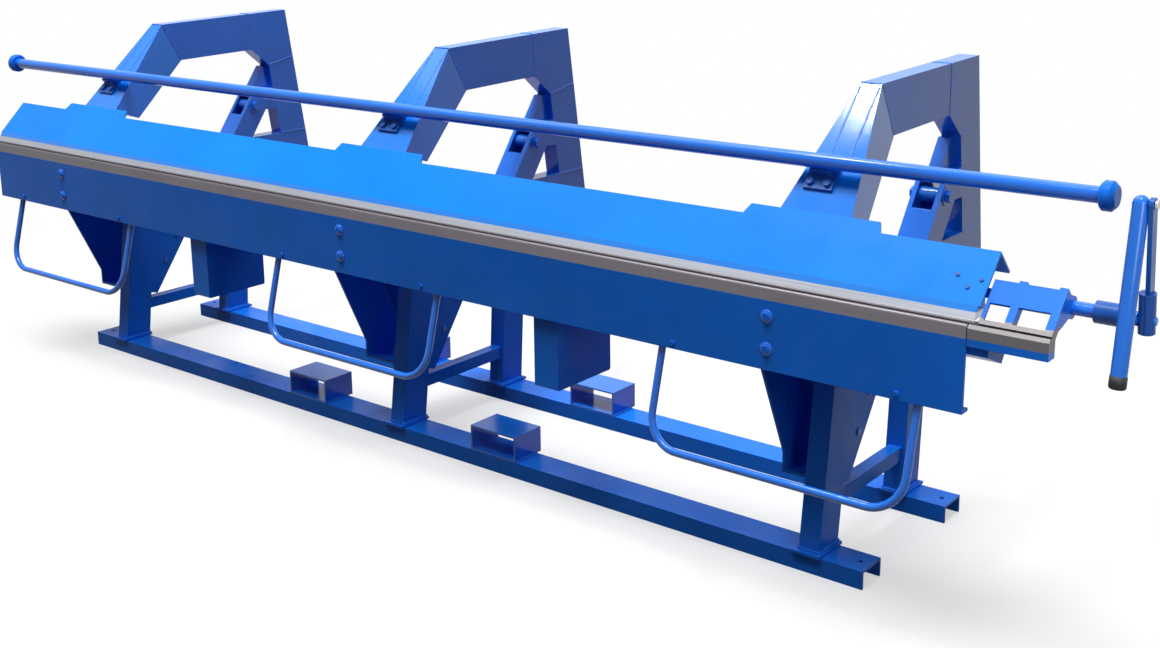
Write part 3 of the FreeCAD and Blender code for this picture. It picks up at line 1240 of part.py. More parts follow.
def make_beam_bolts():
    """Hexagon bolts through the bending plate."""
    bolts = []
    for diameter, centres in bolt_places():
        for x, z in centres:
            parts = []
            head = f"{diameter} * head_ratio"
            for start in (f"-{head}", "plate_thickness"):
                prism = doc.addObject("Part::Prism", "beam_bolt_head")
                prism.Polygon = 6
                prism.setExpression("Circumradius", bind(f"{diameter} * corner_ratio"))
                prism.setExpression("Height", bind(head))
                prism.setExpression("Placement.Base.z", bind(start))
                parts.append(prism)
            shank = upright("beam_bolt_shank", "Part::Cylinder", f"{diameter} / 2",
                            f"plate_thickness + 2 * {head}", f"-{head}")
            bolt = fuse("beam_bolt", parts + [shank])
            bolts.append(put(bolt, x, PLATE_FRONT_Y, z, "-90"))
    keep(group("beam_bolts", bolts), "beam_bolts")


def make_blade_bar():
    """The steel blade: round upper edge about the pivots, tongue behind the plate."""
    body = new_body("blade_bar")
    rear = f"({PLATE_FRONT_Y} + blade_thickness)"
    tongue = f"({PLATE_FRONT_Y} + plate_thickness)"
    low = f"({PLATE_TOP_Z} - blade_tongue)"
    corners = [
        (PLATE_FRONT_Y, PLATE_TOP_Z), (tongue, PLATE_TOP_Z), (tongue, low), (rear, low),
        (rear, PIVOT_Z), (PLATE_FRONT_Y, PIVOT_Z),
    ]
    pad(body, outline(body, "YZ_Plane", corners), "beam_length")
    pad(body, rings(body, "YZ_Plane", [(PIVOT_Y, PIVOT_Z)], "blade_thickness / 2"), "beam_length")
    for sign in ("-1", "1"):
        centre = f"{sign} * (beam_length / 2 - pivot_depth / 2)"
        bore = rings(body, "YZ_Plane", [(PIVOT_Y, PIVOT_Z)], "pivot_diameter / 2 + bore_clearance", centre)
        pocket(body, bore, "pivot_depth + cut_margin")
    keep(put(body), "blade_bar")


def make_hand_loop(label, x):
    """A round bar bent into a wide loop, tilted to the front."""
    body = new_body(label)
    half = "loop_span / 2"
    low = "(loop_drop - loop_corner)"
    path = new_sketch(body, "XZ_Plane", "0")
    up = FreeCAD.Vector(0, 0, 1)
    span = value(half)
    corner = value("loop_corner")
    drop = value("loop_drop")
    turn = value(low)
    quarter = math.pi / 2
    path.addGeometry(Part.LineSegment(FreeCAD.Vector(-span, 0, 0), FreeCAD.Vector(-span, -turn, 0)))
    left = Part.Circle(FreeCAD.Vector(corner - span, -turn, 0), up, corner)
    path.addGeometry(Part.ArcOfCircle(left, 2 * quarter, 3 * quarter))
    path.addGeometry(Part.LineSegment(
        FreeCAD.Vector(corner - span, -drop, 0), FreeCAD.Vector(span - corner, -drop, 0)))
    right = Part.Circle(FreeCAD.Vector(span - corner, -turn, 0), up, corner)
    path.addGeometry(Part.ArcOfCircle(right, 3 * quarter, 4 * quarter))
    path.addGeometry(Part.LineSegment(FreeCAD.Vector(span, -turn, 0), FreeCAD.Vector(span, 0, 0)))
    for edge in range(4):
        path.addConstraint(Sketcher.Constraint("Coincident", edge, 2, edge + 1, 1))
    pin_point(path, 0, 1, (f"-{half}", "0"), "start")
    pin_point(path, 0, 2, (f"-{half}", f"-{low}"), "left_turn")
    pin_point(path, 2, 1, (f"-({half} - loop_corner)", "-loop_drop"), "left_base")
    pin_point(path, 2, 2, (f"{half} - loop_corner", "-loop_drop"), "right_base")
    pin_point(path, 4, 1, (half, f"-{low}"), "right_turn")
    pin_point(path, 4, 2, (half, "0"), "end")
    for edge in (1, 3):
        rule = path.addConstraint(Sketcher.Constraint("Radius", edge, corner))
        path.renameConstraint(rule, f"bend{edge}")
        path.setExpression(f"Constraints.bend{edge}", bind("loop_corner"))
    section = rings(body, "XY_Plane", [(f"-{half}", "0")], "loop_diameter / 2")
    doc.recompute()
    pipe = body.newObject("PartDesign::AdditivePipe", "AdditivePipe")
    pipe.Profile = section
    pipe.Spine = (path, [f"Edge{edge + 1}" for edge in range(5)])
    y = f"{PLATE_FRONT_Y} + loop_setback"
    z = f"{PLATE_BOTTOM_Z} - loop_diameter / 2 * sin(loop_tilt)"
    keep(put(body, x, y, z, "-loop_tilt"), label)


def make_balance_box(label, x):
    """A closed box under the lower beam, its front flush with the lower jaw's."""
    rear = f"({JAW_FRONT_Y} + housing_depth)"
    low = f"({BEAM_BOTTOM_Z} - housing_drop)"
    corners = [
        (JAW_FRONT_Y, BEAM_BOTTOM_Z), (JAW_FRONT_Y, f"{low} + housing_bevel"),
        (f"{JAW_FRONT_Y} + housing_bevel", low), (f"{rear} - housing_bevel", low),
        (rear, f"{low} + housing_bevel"), (rear, BEAM_BOTTOM_Z),
    ]
    keep(put(slab(label, corners, "housing_width"), x), label)


make_rail("rail_front", "0")
make_rail("rail_rear", REAR_RAIL_Y)
for depth_name, rail_y in (("front", "0"), ("rear", REAR_RAIL_Y)):
    for side_name, sign in (("left", "-1"), ("right", "1")):
        make_fork_pocket(f"fork_pocket_{depth_name}_{side_name}", f"{sign} * pocket_pitch / 2", rail_y)
make_foot_plates()
make_tie_bars()
for side_name, frame_x in FRAMES.items():
    make_leg(f"front_leg_{side_name}", frame_x, FRONT_LEG_Y, "front_leg_lean")
    make_leg(f"rear_leg_{side_name}", frame_x, REAR_LEG_Y, "rear_leg_lean")
    make_frame(f"frame_{side_name}", frame_x)
    make_nose_arm(f"nose_arm_{side_name}", frame_x)
    make_brace(f"brace_{side_name}", frame_x)
    make_lower_arm(f"lower_arm_{side_name}", frame_x, BRACKETS[side_name])
    make_hand_loop(f"hand_loop_{side_name}", frame_x)
make_brace_bolts()
make_links()
make_lower_beam()
make_jaw_bar()
make_pivot_lug()
make_pivot_pins()
make_runout_frame()
make_runout_bracket()
make_front_tube()
make_end_caps()
make_tube_brackets()
make_bracket_bolts()
make_upper_sheet()
make_nose_bar()
make_yokes()
make_end_screws()
make_clamp_shaft()
make_cams()
make_hangers()
make_sleeve()
make_crank_hub()
make_crank_arm()
make_handle_tube()
make_handle_plug()
make_handle_pin()
make_bending_plate()
make_beam_bolts()
make_blade_bar()
make_balance_box("balance_box_left", f"-{BALANCE_X}")
make_balance_box("balance_box_right", BALANCE_X)

doc.recompute()
for item in doc.Objects:
    bad = [word for word in item.State if word in ("Invalid", "Error")]
    if bad:
        raise RuntimeError(f"{item.Label} failed: {bad}")
for item in PIECES:
    if item.Shape.isNull() or not item.Shape.isValid():
        raise RuntimeError(f"{item.Label} has no valid shape")

os.makedirs("parts", exist_ok=True)
for item in PIECES:
    item.Shape.exportStep(f"parts/{item.Label}.step")
    extent = item.Shape.BoundBox
    print(item.Label, len(item.Shape.Solids), round(item.Shape.Volume / 1000, 1),
          [round(number, 1) for number in (extent.XMin, extent.XMax, extent.YMin, extent.YMax,
                                           extent.ZMin, extent.ZMax)])
print(len(PIECES), "nodes")
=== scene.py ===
"""Looks of a roofing sheet folder.

Node materials for every solid, and pieces of its own: weld beads, washers, the braces' rear plates
and the handle's cap. Then the floor, the lights and the camera.
"""

import math

import bmesh
import bpy
from mathutils import Matrix, Vector


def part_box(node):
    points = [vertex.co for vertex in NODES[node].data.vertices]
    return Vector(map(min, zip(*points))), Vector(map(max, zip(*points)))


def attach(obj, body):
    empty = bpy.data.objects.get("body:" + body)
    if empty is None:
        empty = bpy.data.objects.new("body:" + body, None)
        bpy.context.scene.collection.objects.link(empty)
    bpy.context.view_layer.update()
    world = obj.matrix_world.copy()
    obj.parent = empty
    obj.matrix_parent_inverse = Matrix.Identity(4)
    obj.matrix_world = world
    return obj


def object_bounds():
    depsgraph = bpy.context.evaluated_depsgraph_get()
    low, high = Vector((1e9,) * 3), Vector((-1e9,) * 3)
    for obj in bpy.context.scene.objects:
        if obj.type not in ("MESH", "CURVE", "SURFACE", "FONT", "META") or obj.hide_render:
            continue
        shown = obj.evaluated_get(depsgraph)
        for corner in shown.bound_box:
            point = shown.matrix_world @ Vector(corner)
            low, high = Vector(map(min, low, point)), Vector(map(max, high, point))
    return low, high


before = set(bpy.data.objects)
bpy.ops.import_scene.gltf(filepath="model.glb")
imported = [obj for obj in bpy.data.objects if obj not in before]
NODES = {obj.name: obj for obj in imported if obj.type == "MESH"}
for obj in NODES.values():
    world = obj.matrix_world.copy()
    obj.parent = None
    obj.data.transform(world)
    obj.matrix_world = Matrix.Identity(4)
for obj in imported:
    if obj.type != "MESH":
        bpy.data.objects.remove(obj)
cad_low, cad_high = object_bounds()
SIDES = ("left", "middle", "right")
MM = 0.001


# Materials

# One blue paint in lit and shaded copies: the first is its lit copy on the sheet, the second a
# painted-shade copy with a deeper hue for the other painted parts, the third a lit copy for the
# nose arms.
AZURE = (0.0035, 0.222, 0.80)
SHADED_COPY_BLUE = (0.010, 0.172, 0.78)
ARM_LIT_BLUE = (0.006, 0.200, 0.80)
# A darker navy blue for small parts: partly their own darker paint, partly painted shade on parts
# seen dark in shade.
NAVY_AND_SHADE_BLUE = (0.008, 0.095, 0.42)
BLACK = (0.006, 0.007, 0.010)
GROUND_STEEL = (0.42, 0.44, 0.50)
WORN_STEEL = (0.150, 0.140, 0.155)
TURNED_STEEL = (0.50, 0.49, 0.48)
# Painted highlight: near-white colour for the nose bar's lower tip.
NOSE_TIP_HIGHLIGHT = (0.95, 0.95, 0.98, 1.0)
RUNOUT_STEEL = (0.115, 0.110, 0.115, 1.0)

EVEN = (1.0, 1.0, 1.0)
NOISE_ROUGH = 0.55
MIX_COLOR_A = 6
MIX_COLOR_B = 7
MIX_COLOR_OUT = 2

# Edges: samples of the bevel, and the range of its agreement with the true normal.
EDGE_SAMPLES = 4
EDGE_SPREAD = (0.80, 0.99)

# Paint. Grains are counted in a metre, a spread is the part of the noise that is used,
# a tint is a share of the colour and a lift, and a bump is a strength and a depth.
CLOUD_GRAINS = 3.0
CLOUD_DETAIL = 3.0
CLOUD_SPREAD = (0.35, 0.65)
CLOUD_DARK = 0.93
CLOUD_LIGHT = 1.05
PAINT_EDGE = 1.6 * MM
# Painted highlight along the paint's edges: its share and tint.
PAINT_HIGHLIGHT_SHARE = 0.55
PAINT_HIGHLIGHT_TINT = (1.15, 0.05)
CHIP_GRAINS = 60.0
CHIP_DETAIL = 6.0
CHIP_ROUGH = 0.7
CHIP_SPREAD = (0.62, 0.72)
CHIP_TINT = (0.5, 0.16)
SMEAR_GRAINS = 9.0
SMEAR_DETAIL = 5.0
SMEAR_SPREAD = (0.3, 0.7)
SMEAR_GLOSSY = 0.75
SMEAR_DULL = 1.35
WAVE_GRAINS = 26.0
WAVE_BUMP = (0.05, 1.5 * MM)
PEEL_GRAINS = 420.0
PEEL_BUMP = (0.10, 0.12 * MM)
FINE_DETAIL = 2.0

# Steel, ground along the machine.
GRIND_STRETCH = (0.004, 1.0, 1.0)
GRIND_ROUGH = 0.5
GRIND_SPREAD = (0.3, 0.7)
GRIND_DARK = 0.94
GRIND_LIGHT = 1.05
GRIND_GLOSSY = 0.8
GRIND_DULL = 1.3
GRIND_BUMP = (0.08, 0.04 * MM)
STAIN_GRAINS = 7.0
STAIN_DETAIL = 6.0
STAIN_STRETCH = (0.35, 1.0, 1.0)
STAIN_SPREAD = (0.48, 0.68)
STAIN_SHARES = (0.66, 0.62, 0.60)
STEEL_EDGE = 0.8 * MM
# Painted highlight along the steel's edges: its share and lift.
STEEL_HIGHLIGHT_SHARE = 0.6
STEEL_HIGHLIGHT_LIFT = 0.8

# Heights on the nose bar: its tip, lightened by a painted highlight, and the border of its paint.
NOSE_HIGHLIGHT_Z = 0.7565
NOSE_HIGHLIGHT_FADE = 1.0 * MM
NOSE_PAINT_Z = 0.7716
NOSE_PAINT_FADE = 0.6 * MM
NOSE_PAINT_SHARE = 0.9

# The bare band on the run-out bar.
BARE_LOW_Z = 0.717
BARE_HIGH_Z = 0.7625
BARE_REAR_Y = -0.400
BARE_ROUGH = 0.40


class Shader:
    """A node material with a Principled shader, and short ways to add nodes to it."""

    def __init__(self, name, color, roughness, metallic=0.0):
        self.material = bpy.data.materials.new(name)
        self.material.use_nodes = True
        self.tree = self.material.node_tree
        self.shader = self.tree.nodes["Principled BSDF"]
        self.set(self.shader, "Base Color", (*color, 1.0))
        self.set(self.shader, "Roughness", roughness)
        self.set(self.shader, "Metallic", metallic)
        self.place = self.node("ShaderNodeTexCoord").outputs["Object"]

    def node(self, kind, **settings):
        made = self.tree.nodes.new(kind)
        for key, setting in settings.items():
            setattr(made, key, setting)
        return made

    def set(self, node, socket, amount):
        node.inputs[socket].default_value = amount

    def link(self, source, node, socket):
        self.tree.links.new(source, node.inputs[socket])

    def noise(self, scale, detail, stretch=EVEN, rough=NOISE_ROUGH):
        """Noise on the object: scale is its count of grains in a metre."""
        mapping = self.node("ShaderNodeMapping")
        self.set(mapping, "Scale", stretch)
        self.link(self.place, mapping, "Vector")
        made = self.node("ShaderNodeTexNoise")
        self.set(made, "Scale", scale)
        self.set(made, "Detail", detail)
        self.set(made, "Roughness", rough)
        self.link(mapping.outputs["Vector"], made, "Vector")
        return made.outputs["Fac"]

    def band(self, source, low, high, start, end):
        """Maps source from start..end onto low..high."""
        made = self.node("ShaderNodeMapRange")
        self.set(made, "From Min", start)
        self.set(made, "From Max", end)
        self.set(made, "To Min", low)
        self.set(made, "To Max", high)
        self.link(source, made, "Value")
        return made.outputs["Result"]

    def math(self, operation, first, second):
        """One step of arithmetic on two sockets, or on a socket and a number."""
        made = self.node("ShaderNodeMath", operation=operation)
        for index, part in enumerate((first, second)):
            if isinstance(part, float):
                made.inputs[index].default_value = part
            else:
                self.tree.links.new(part, made.inputs[index])
        return made.outputs["Value"]

    def blend(self, share, first, second):
        """A colour between two, by a share from a texture."""
        made = self.node("ShaderNodeMix", data_type="RGBA")
        self.link(share, made, "Factor")
        for index, colour in ((MIX_COLOR_A, first), (MIX_COLOR_B, second)):
            if isinstance(colour, tuple):
                made.inputs[index].default_value = colour
            else:
                self.tree.links.new(colour, made.inputs[index])
        return made.outputs[MIX_COLOR_OUT]

    def split(self):
        """X, Y and Z of the place on the object, in metres."""
        made = self.node("ShaderNodeSeparateXYZ")
        self.link(self.place, made, "Vector")
        return made.outputs["X"], made.outputs["Y"], made.outputs["Z"]

    def edges(self, radius):
        """A soft normal at the edges, and how much each place is an edge, from 0 to 1."""
        bevel = self.node("ShaderNodeBevel", samples=EDGE_SAMPLES)
        self.set(bevel, "Radius", radius)
        geometry = self.node("ShaderNodeNewGeometry")
        apart = self.node("ShaderNodeVectorMath", operation="DOT_PRODUCT")
        self.tree.links.new(bevel.outputs["Normal"], apart.inputs[0])
        self.tree.links.new(geometry.outputs["True Normal"], apart.inputs[1])
        return bevel.outputs["Normal"], self.band(apart.outputs["Value"], 1.0, 0.0, *EDGE_SPREAD)

    def bump(self, heights, normal):
        """Chains bump layers of (height, strength, distance) onto a normal."""
        for height, strength, distance in heights:
            made = self.node("ShaderNodeBump")
            self.set(made, "Strength", strength)
            self.set(made, "Distance", distance)
            self.link(height, made, "Height")
            self.link(normal, made, "Normal")
            normal = made.outputs["Normal"]
        self.link(normal, self.shader, "Normal")


def shade(color, share, lift=0.0):
    """A colour scaled by a share and lifted evenly, with alpha."""
    return tuple(min(1.0, part * share + lift) for part in color) + (1.0,)


def paint(name, color, roughness, gloss, wear):
    """Sprayed paint: orange peel, faint cloudiness, smeared gloss, chipped edges and a painted
    highlight along the edges.
    """
    made = Shader(name, color, roughness)
    made.set(made.shader, "Specular IOR Level", gloss)
    cloud = made.band(made.noise(CLOUD_GRAINS, CLOUD_DETAIL), 0.0, 1.0, *CLOUD_SPREAD)
    body = made.blend(cloud, shade(color, CLOUD_DARK), shade(color, CLOUD_LIGHT))
    normal, edge = made.edges(PAINT_EDGE)
    # Painted highlight: the edges are lightened in the base colour.
    highlight_rim = made.math("MULTIPLY", edge, PAINT_HIGHLIGHT_SHARE)
    lit = made.blend(highlight_rim, body, shade(color, *PAINT_HIGHLIGHT_TINT))
    specks = made.noise(CHIP_GRAINS, CHIP_DETAIL, rough=CHIP_ROUGH)
    chips = made.band(specks, 0.0, 1.0, *CHIP_SPREAD)
    worn = made.math("MULTIPLY", made.math("MULTIPLY", edge, chips), wear)
    made.link(made.blend(worn, lit, shade(color, *CHIP_TINT)), made.shader, "Base Color")
    smudge = made.noise(SMEAR_GRAINS, SMEAR_DETAIL)
    smear = made.band(smudge, roughness * SMEAR_GLOSSY, roughness * SMEAR_DULL, *SMEAR_SPREAD)
    made.link(smear, made.shader, "Roughness")
    peel = made.noise(PEEL_GRAINS, FINE_DETAIL)
    waves = made.noise(WAVE_GRAINS, FINE_DETAIL)
    made.bump(((waves, *WAVE_BUMP), (peel, *PEEL_BUMP)), normal)
    return made


def paint_above(made, skin, border):
    """Paint on a steel piece above a height, and a painted highlight on the tip at its lower edge.
    """
    height = made.split()[2]
    # Painted highlight: the tip below a height is turned near-white.
    tip_highlight = made.band(height, 1.0, 0.0, NOSE_HIGHLIGHT_Z - NOSE_HIGHLIGHT_FADE, NOSE_HIGHLIGHT_Z)
    skin = made.blend(tip_highlight, skin, NOSE_TIP_HIGHLIGHT)
    above = made.band(height, 0.0, 1.0, border, border + NOSE_PAINT_FADE)
    skin = made.blend(above, skin, shade(AZURE, NOSE_PAINT_SHARE))
    made.link(made.band(above, 1.0, 0.0, 0.0, 1.0), made.shader, "Metallic")
    return skin


def steel(name, color, roughness, grain, stains, painted_from=None):
    """Bare steel, ground along the machine, with faint stains, a painted highlight on its edges,
    and paint above a height.
    """
    made = Shader(name, color, roughness, 1.0)
    lines = made.noise(grain, FINE_DETAIL, GRIND_STRETCH, GRIND_ROUGH)
    spots = made.noise(STAIN_GRAINS, STAIN_DETAIL, STAIN_STRETCH)
    blotch = made.band(spots, 0.0, stains, *STAIN_SPREAD)
    stain = tuple(part * share for part, share in zip(color, STAIN_SHARES)) + (1.0,)
    streak = made.band(lines, 0.0, 1.0, *GRIND_SPREAD)
    ground = made.blend(streak, shade(color, GRIND_DARK), shade(color, GRIND_LIGHT))
    normal, edge = made.edges(STEEL_EDGE)
    skin = made.blend(blotch, ground, stain)
    # Painted highlight: the edges are lifted towards a lighter colour.
    highlight_rim = made.math("MULTIPLY", edge, STEEL_HIGHLIGHT_SHARE)
    skin = made.blend(highlight_rim, skin, shade(color, 1.0, STEEL_HIGHLIGHT_LIFT * color[0]))
    if painted_from is not None:
        skin = paint_above(made, skin, painted_from)
    made.link(skin, made.shader, "Base Color")
    dull = made.band(lines, roughness * GRIND_GLOSSY, roughness * GRIND_DULL, *GRIND_SPREAD)
    made.link(dull, made.shader, "Roughness")
    made.bump(((lines, *GRIND_BUMP),), normal)
    return made


def half_bare(made):
    """Leaves the run-out bar's upper band as bare steel, by its place."""
    _, y, z = made.split()
    above = made.math("GREATER_THAN", z, BARE_LOW_Z)
    below = made.math("LESS_THAN", z, BARE_HIGH_Z)
    front = made.math("LESS_THAN", y, BARE_REAR_Y)
    bare = made.math("MULTIPLY", made.math("MULTIPLY", above, below), front)
    colour = made.shader.inputs["Base Color"].links[0].from_socket
    rough = made.shader.inputs["Roughness"].links[0].from_socket
    made.link(made.blend(bare, colour, RUNOUT_STEEL), made.shader, "Base Color")
    bare_rough = made.math("MULTIPLY", bare, BARE_ROUGH)
    made.link(made.math("MAXIMUM", rough, bare_rough), made.shader, "Roughness")
    made.link(bare, made.shader, "Metallic")
    return made


# Paint: colour, roughness, specular level, wear. Steel: colour, roughness, grain, stains.
SHEET = paint("sheet_paint", AZURE, 0.30, 0.09, 0.20).material
# Painted shade: these two and the run-out paint take the shaded copy of the blue; the arm paint
# takes a lit copy.
SATIN = paint("blue_paint", SHADED_COPY_BLUE, 0.30, 0.09, 0.20).material
GLOSS = paint("shaded_blue_gloss_paint", SHADED_COPY_BLUE, 0.16, 0.36, 0.25).material
ARM_GLOSS = paint("arm_lit_paint", ARM_LIT_BLUE, 0.11, 0.36, 0.25).material
NAVY_AND_SHADE = paint("navy_and_shade_paint", NAVY_AND_SHADE_BLUE, 0.28, 0.30, 0.25).material
RUBBER = paint("black_plastic", BLACK, 0.50, 0.30, 0.05).material
BRIGHT = steel("bright_steel", GROUND_STEEL, 0.30, 700.0, 0.15, NOSE_PAINT_Z).material
TAUPE = steel("worn_steel", WORN_STEEL, 0.40, 500.0, 0.35).material
TURNED = steel("turned_steel", TURNED_STEEL, 0.34, 1200.0, 0.25).material
RUNOUT = half_bare(paint("runout_paint", SHADED_COPY_BLUE, 0.30, 0.12, 0.20)).material

WEARS = (
    (SHEET, ("upper_sheet",)),
    (BRIGHT, ("nose_bar",)),
    (TAUPE, ("blade_bar", "jaw_bar")),
    (TURNED, ("pivot_pins", "lift_cams", "handle_pin")),
    (RUBBER, ("handle_plug",)),
    (RUNOUT, ("runout_frame",)),
    # Partly painted shade: these small parts take the darker navy where they stand in shade.
    (NAVY_AND_SHADE, ("link_pins", "link_bars", "end_screws")),
    (NAVY_AND_SHADE, ("crank_hub", "crank_arm", "crank_sleeve")),
    (NAVY_AND_SHADE, ("tube_brackets", "bracket_bolts")),
    (SATIN, ("bending_plate", "beam_bolts", "lower_beam", "runout_bracket")),
    (SATIN, ("rail_front", "rail_rear", "foot_plates", "tie_bars")),
    (SATIN, ("balance_box_left", "balance_box_right", "tube_end_caps")),
    (SATIN, tuple(f"front_leg_{side}" for side in SIDES)),
    (SATIN, tuple(f"rear_leg_{side}" for side in SIDES)),
    (SATIN, tuple(f"lower_arm_{side}" for side in SIDES)),
    (ARM_GLOSS, tuple(f"nose_arm_{side}" for side in SIDES)),
)
DRESS = {name: material for material, names in WEARS for name in names}
for name, item in NODES.items():
    item.data.materials.clear()
    item.data.materials.append(DRESS.get(name, GLOSS))


# Pieces of its own

BOX_WIDTH = 60 * MM

# Rough places of the frame's and the nose arm's corners, as Y and Z.
FRAME_HEAD = (-0.02, 1.19)
FRAME_ROOT = (0.05, 1.05)
FRAME_KNEE = (0.39, 1.06)
FRAME_ELBOW = (0.475, 0.99)
FRAME_HEEL = (0.518, 0.70)
FRAME_TOP_REAR = (0.575, 1.21)
FRAME_SEAT_REAR = (0.665, 0.60)
ARM_HEAD = (-0.02, 1.19)
ARM_FOOT = (-0.302, 0.90)
NECK_ABOVE_ELBOW = 26 * MM
HEAD_SEAM_OUT = (0.0, -0.5, 1.0)

# Weld beads: radii, and the ripples of one laid by hand.
SEAM_RADIUS = 2.2 * MM
FILLET_RADIUS = 4.0 * MM
FILLET_LIFT = 1.5 * MM
ARM_EDGE_INSET = 3 * MM
ARM_WELD_FROM = 0.03
ARM_WELD_TO = 0.62
BEAD_STEP = 2.2 * MM
BEAD_SIDES = 8
BEAD_WIDE = 1.35
BEAD_TALL = 0.75
BEAD_END = 0.45
RIPPLE_LENGTH = 5.5 * MM
RIPPLE_DEPTH = 0.13
WOBBLE_DEPTH = 0.05
WOBBLE_RATE = 17.0

# The rear plate of the brace's channel, on the brace's slope.
BRACE_SLOPE = math.radians(54.5)
BRACE_FOOT_Y = -0.1355
BRACE_FOOT_Z = 0.155
BRACE_SIDE = 8 * MM
BACK_OFFSET = 100 * MM
BACK_THICK = 5 * MM
BACK_LOW_Z = 0.70
BACK_HIGH_Z = 0.809
BACK_FLANGE = 14 * MM
BACK_BEND = 8 * MM
BACK_STEPS = 4

# Washers under the apron's large bolts, which lie above a height.
LARGE_BOLTS_FROM = 0.58
BOLT_REACH = 40 * MM
WASHER_RADIUS = 17 * MM
WASHER_THICK = 2.5 * MM
WASHER_SINK = 0.5 * MM
WASHER_BEVEL_DEEP = 0.6 * MM
WASHER_BEVEL_WIDE = 0.8 * MM
WASHER_HOLE = 4 * MM
TURNED_SIDES = 40

# The crank handle's cap. Its nose is shares of its tip and of its radius.
HANDLE_LENGTH = 380 * MM
HANDLE_LEAN = math.radians(9.5)
CAP_WALL = 1.0 * MM
CAP_GRIP = 20 * MM
CAP_TIP = 9 * MM
CAP_NOSE = ((0.35, 1.0), (0.75, 0.90), (0.95, 0.72), (1.0, 0.45))


def place(name, mesh, material, body):
    """Puts a mesh in the scene as a piece that rides on a body."""
    for face in mesh.polygons:
        face.use_smooth = True
    mesh.materials.append(material)
    item = bpy.data.objects.new(name, mesh)
    bpy.context.scene.collection.objects.link(item)
    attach(item, body)
    return item


def make_mesh(name, verts, faces):
    """A closed mesh whose faces all look outward."""
    mesh = bpy.data.meshes.new(name)
    mesh.from_pydata(verts, [], faces)
    fixed = bmesh.new()
    fixed.from_mesh(mesh)
    bmesh.ops.recalc_face_normals(fixed, faces=fixed.faces)
    fixed.to_mesh(mesh)
    fixed.free()
    return mesh


def bead(verts, faces, path, out, radius):
    """Adds a weld bead along a path of points, raised along out, rippled as it was laid."""
    spots = [path[0]]
    for start, end in zip(path, path[1:]):
        count = max(2, round((end - start).length / BEAD_STEP))
        spots += [start.lerp(end, step / count) for step in range(1, count + 1)]
    run = 0.0
    first = len(verts)
    for index, spot in enumerate(spots):
        before = spots[max(0, index - 1)]
        after = spots[min(len(spots) - 1, index + 1)]
        along = (after - before).normalized()
        side = along.cross(out).normalized()
        up = side.cross(along).normalized()
        run += (spot - before).length
        wave = RIPPLE_DEPTH * math.cos(2 * math.pi * run / RIPPLE_LENGTH)
        wobble = WOBBLE_DEPTH * math.sin(WOBBLE_RATE * run / RIPPLE_LENGTH)
        ripple = 1.0 + wave + wobble
        taper = BEAD_END if index in (0, len(spots) - 1) else 1.0
        for corner in range(BEAD_SIDES):
            angle = 2 * math.pi * corner / BEAD_SIDES
            reach = side * (BEAD_WIDE * radius * math.cos(angle))
            reach += up * (BEAD_TALL * radius * math.sin(angle))
            verts.append(spot + reach * ripple * taper)
    for ring in range(len(spots) - 1):
        for corner in range(BEAD_SIDES):
            low = first + ring * BEAD_SIDES
            near, far = low + corner, low + (corner + 1) % BEAD_SIDES
            faces.append((near, far, far + BEAD_SIDES, near + BEAD_SIDES))
    faces.append(tuple(range(first + BEAD_SIDES - 1, first - 1, -1)))
    last = first + (len(spots) - 1) * BEAD_SIDES
    faces.append(tuple(range(last, last + BEAD_SIDES)))


def corner_of(node, y, z):
    """The CAD node's own corner nearest to a rough place, as Y and Z."""
    points = ((point.co.y, point.co.z) for point in NODES[node].data.vertices)
    return min(points, key=lambda point: math.hypot(point[0] - y, point[1] - z))


def level_box(node, z):
    """Lowest and highest X and Y of a node's corners at a height."""
    points = [point.co for point in NODES[node].data.vertices if abs(point.co.z - z) < MM]
    xs = [point.x for point in points]
    ys = [point.y for point in points]
    return min(xs), max(xs), min(ys), max(ys)


def make_frame_welds(side):
    """Beads where the frame's plates were joined: corner seam, post seam and nose seam."""
    node = f"frame_{side}"
    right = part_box(node)[1].x
    left = right - BOX_WIDTH
    head = corner_of(node, *FRAME_HEAD)
    root = corner_of(node, *FRAME_ROOT)
    knee = corner_of(node, *FRAME_KNEE)
    elbow = corner_of(node, *FRAME_ELBOW)
    heel = corner_of(node, *FRAME_HEEL)
    top_rear = corner_of(node, *FRAME_TOP_REAR)
    seat_rear = corner_of(node, *FRAME_SEAT_REAR)
    rise = (top_rear[1] - head[1]) / (top_rear[0] - head[0])
    seam_top = (knee[0], head[1] + rise * (knee[0] - head[0]))
    lean = (seat_rear[0] - top_rear[0]) / (top_rear[1] - seat_rear[1])
    neck_z = elbow[1] + NECK_ABOVE_ELBOW
    neck = (top_rear[0] + lean * (top_rear[1] - neck_z), neck_z)
    foot = (top_rear[0] + lean * (top_rear[1] - heel[1]), heel[1])
    verts, faces = [], []
    for x, out in ((left, Vector((-1, 0, 0))), (right, Vector((1, 0, 0)))):
        for start, end in ((knee, seam_top), (elbow, neck), (root, head), (heel, foot)):
            bead(verts, faces, [Vector((x, *start)), Vector((x, *end))], out, SEAM_RADIUS)
    for point, out in ((seam_top, (0, 0, 1)), (neck, (0, 1, 0)), (head, HEAD_SEAM_OUT)):
        path = [Vector((left, *point)), Vector((right, *point))]
        bead(verts, faces, path, Vector(out), SEAM_RADIUS)
    mesh = make_mesh("welds", verts, faces)
    place(f"frame_welds_{side}", mesh, GLOSS, "base")


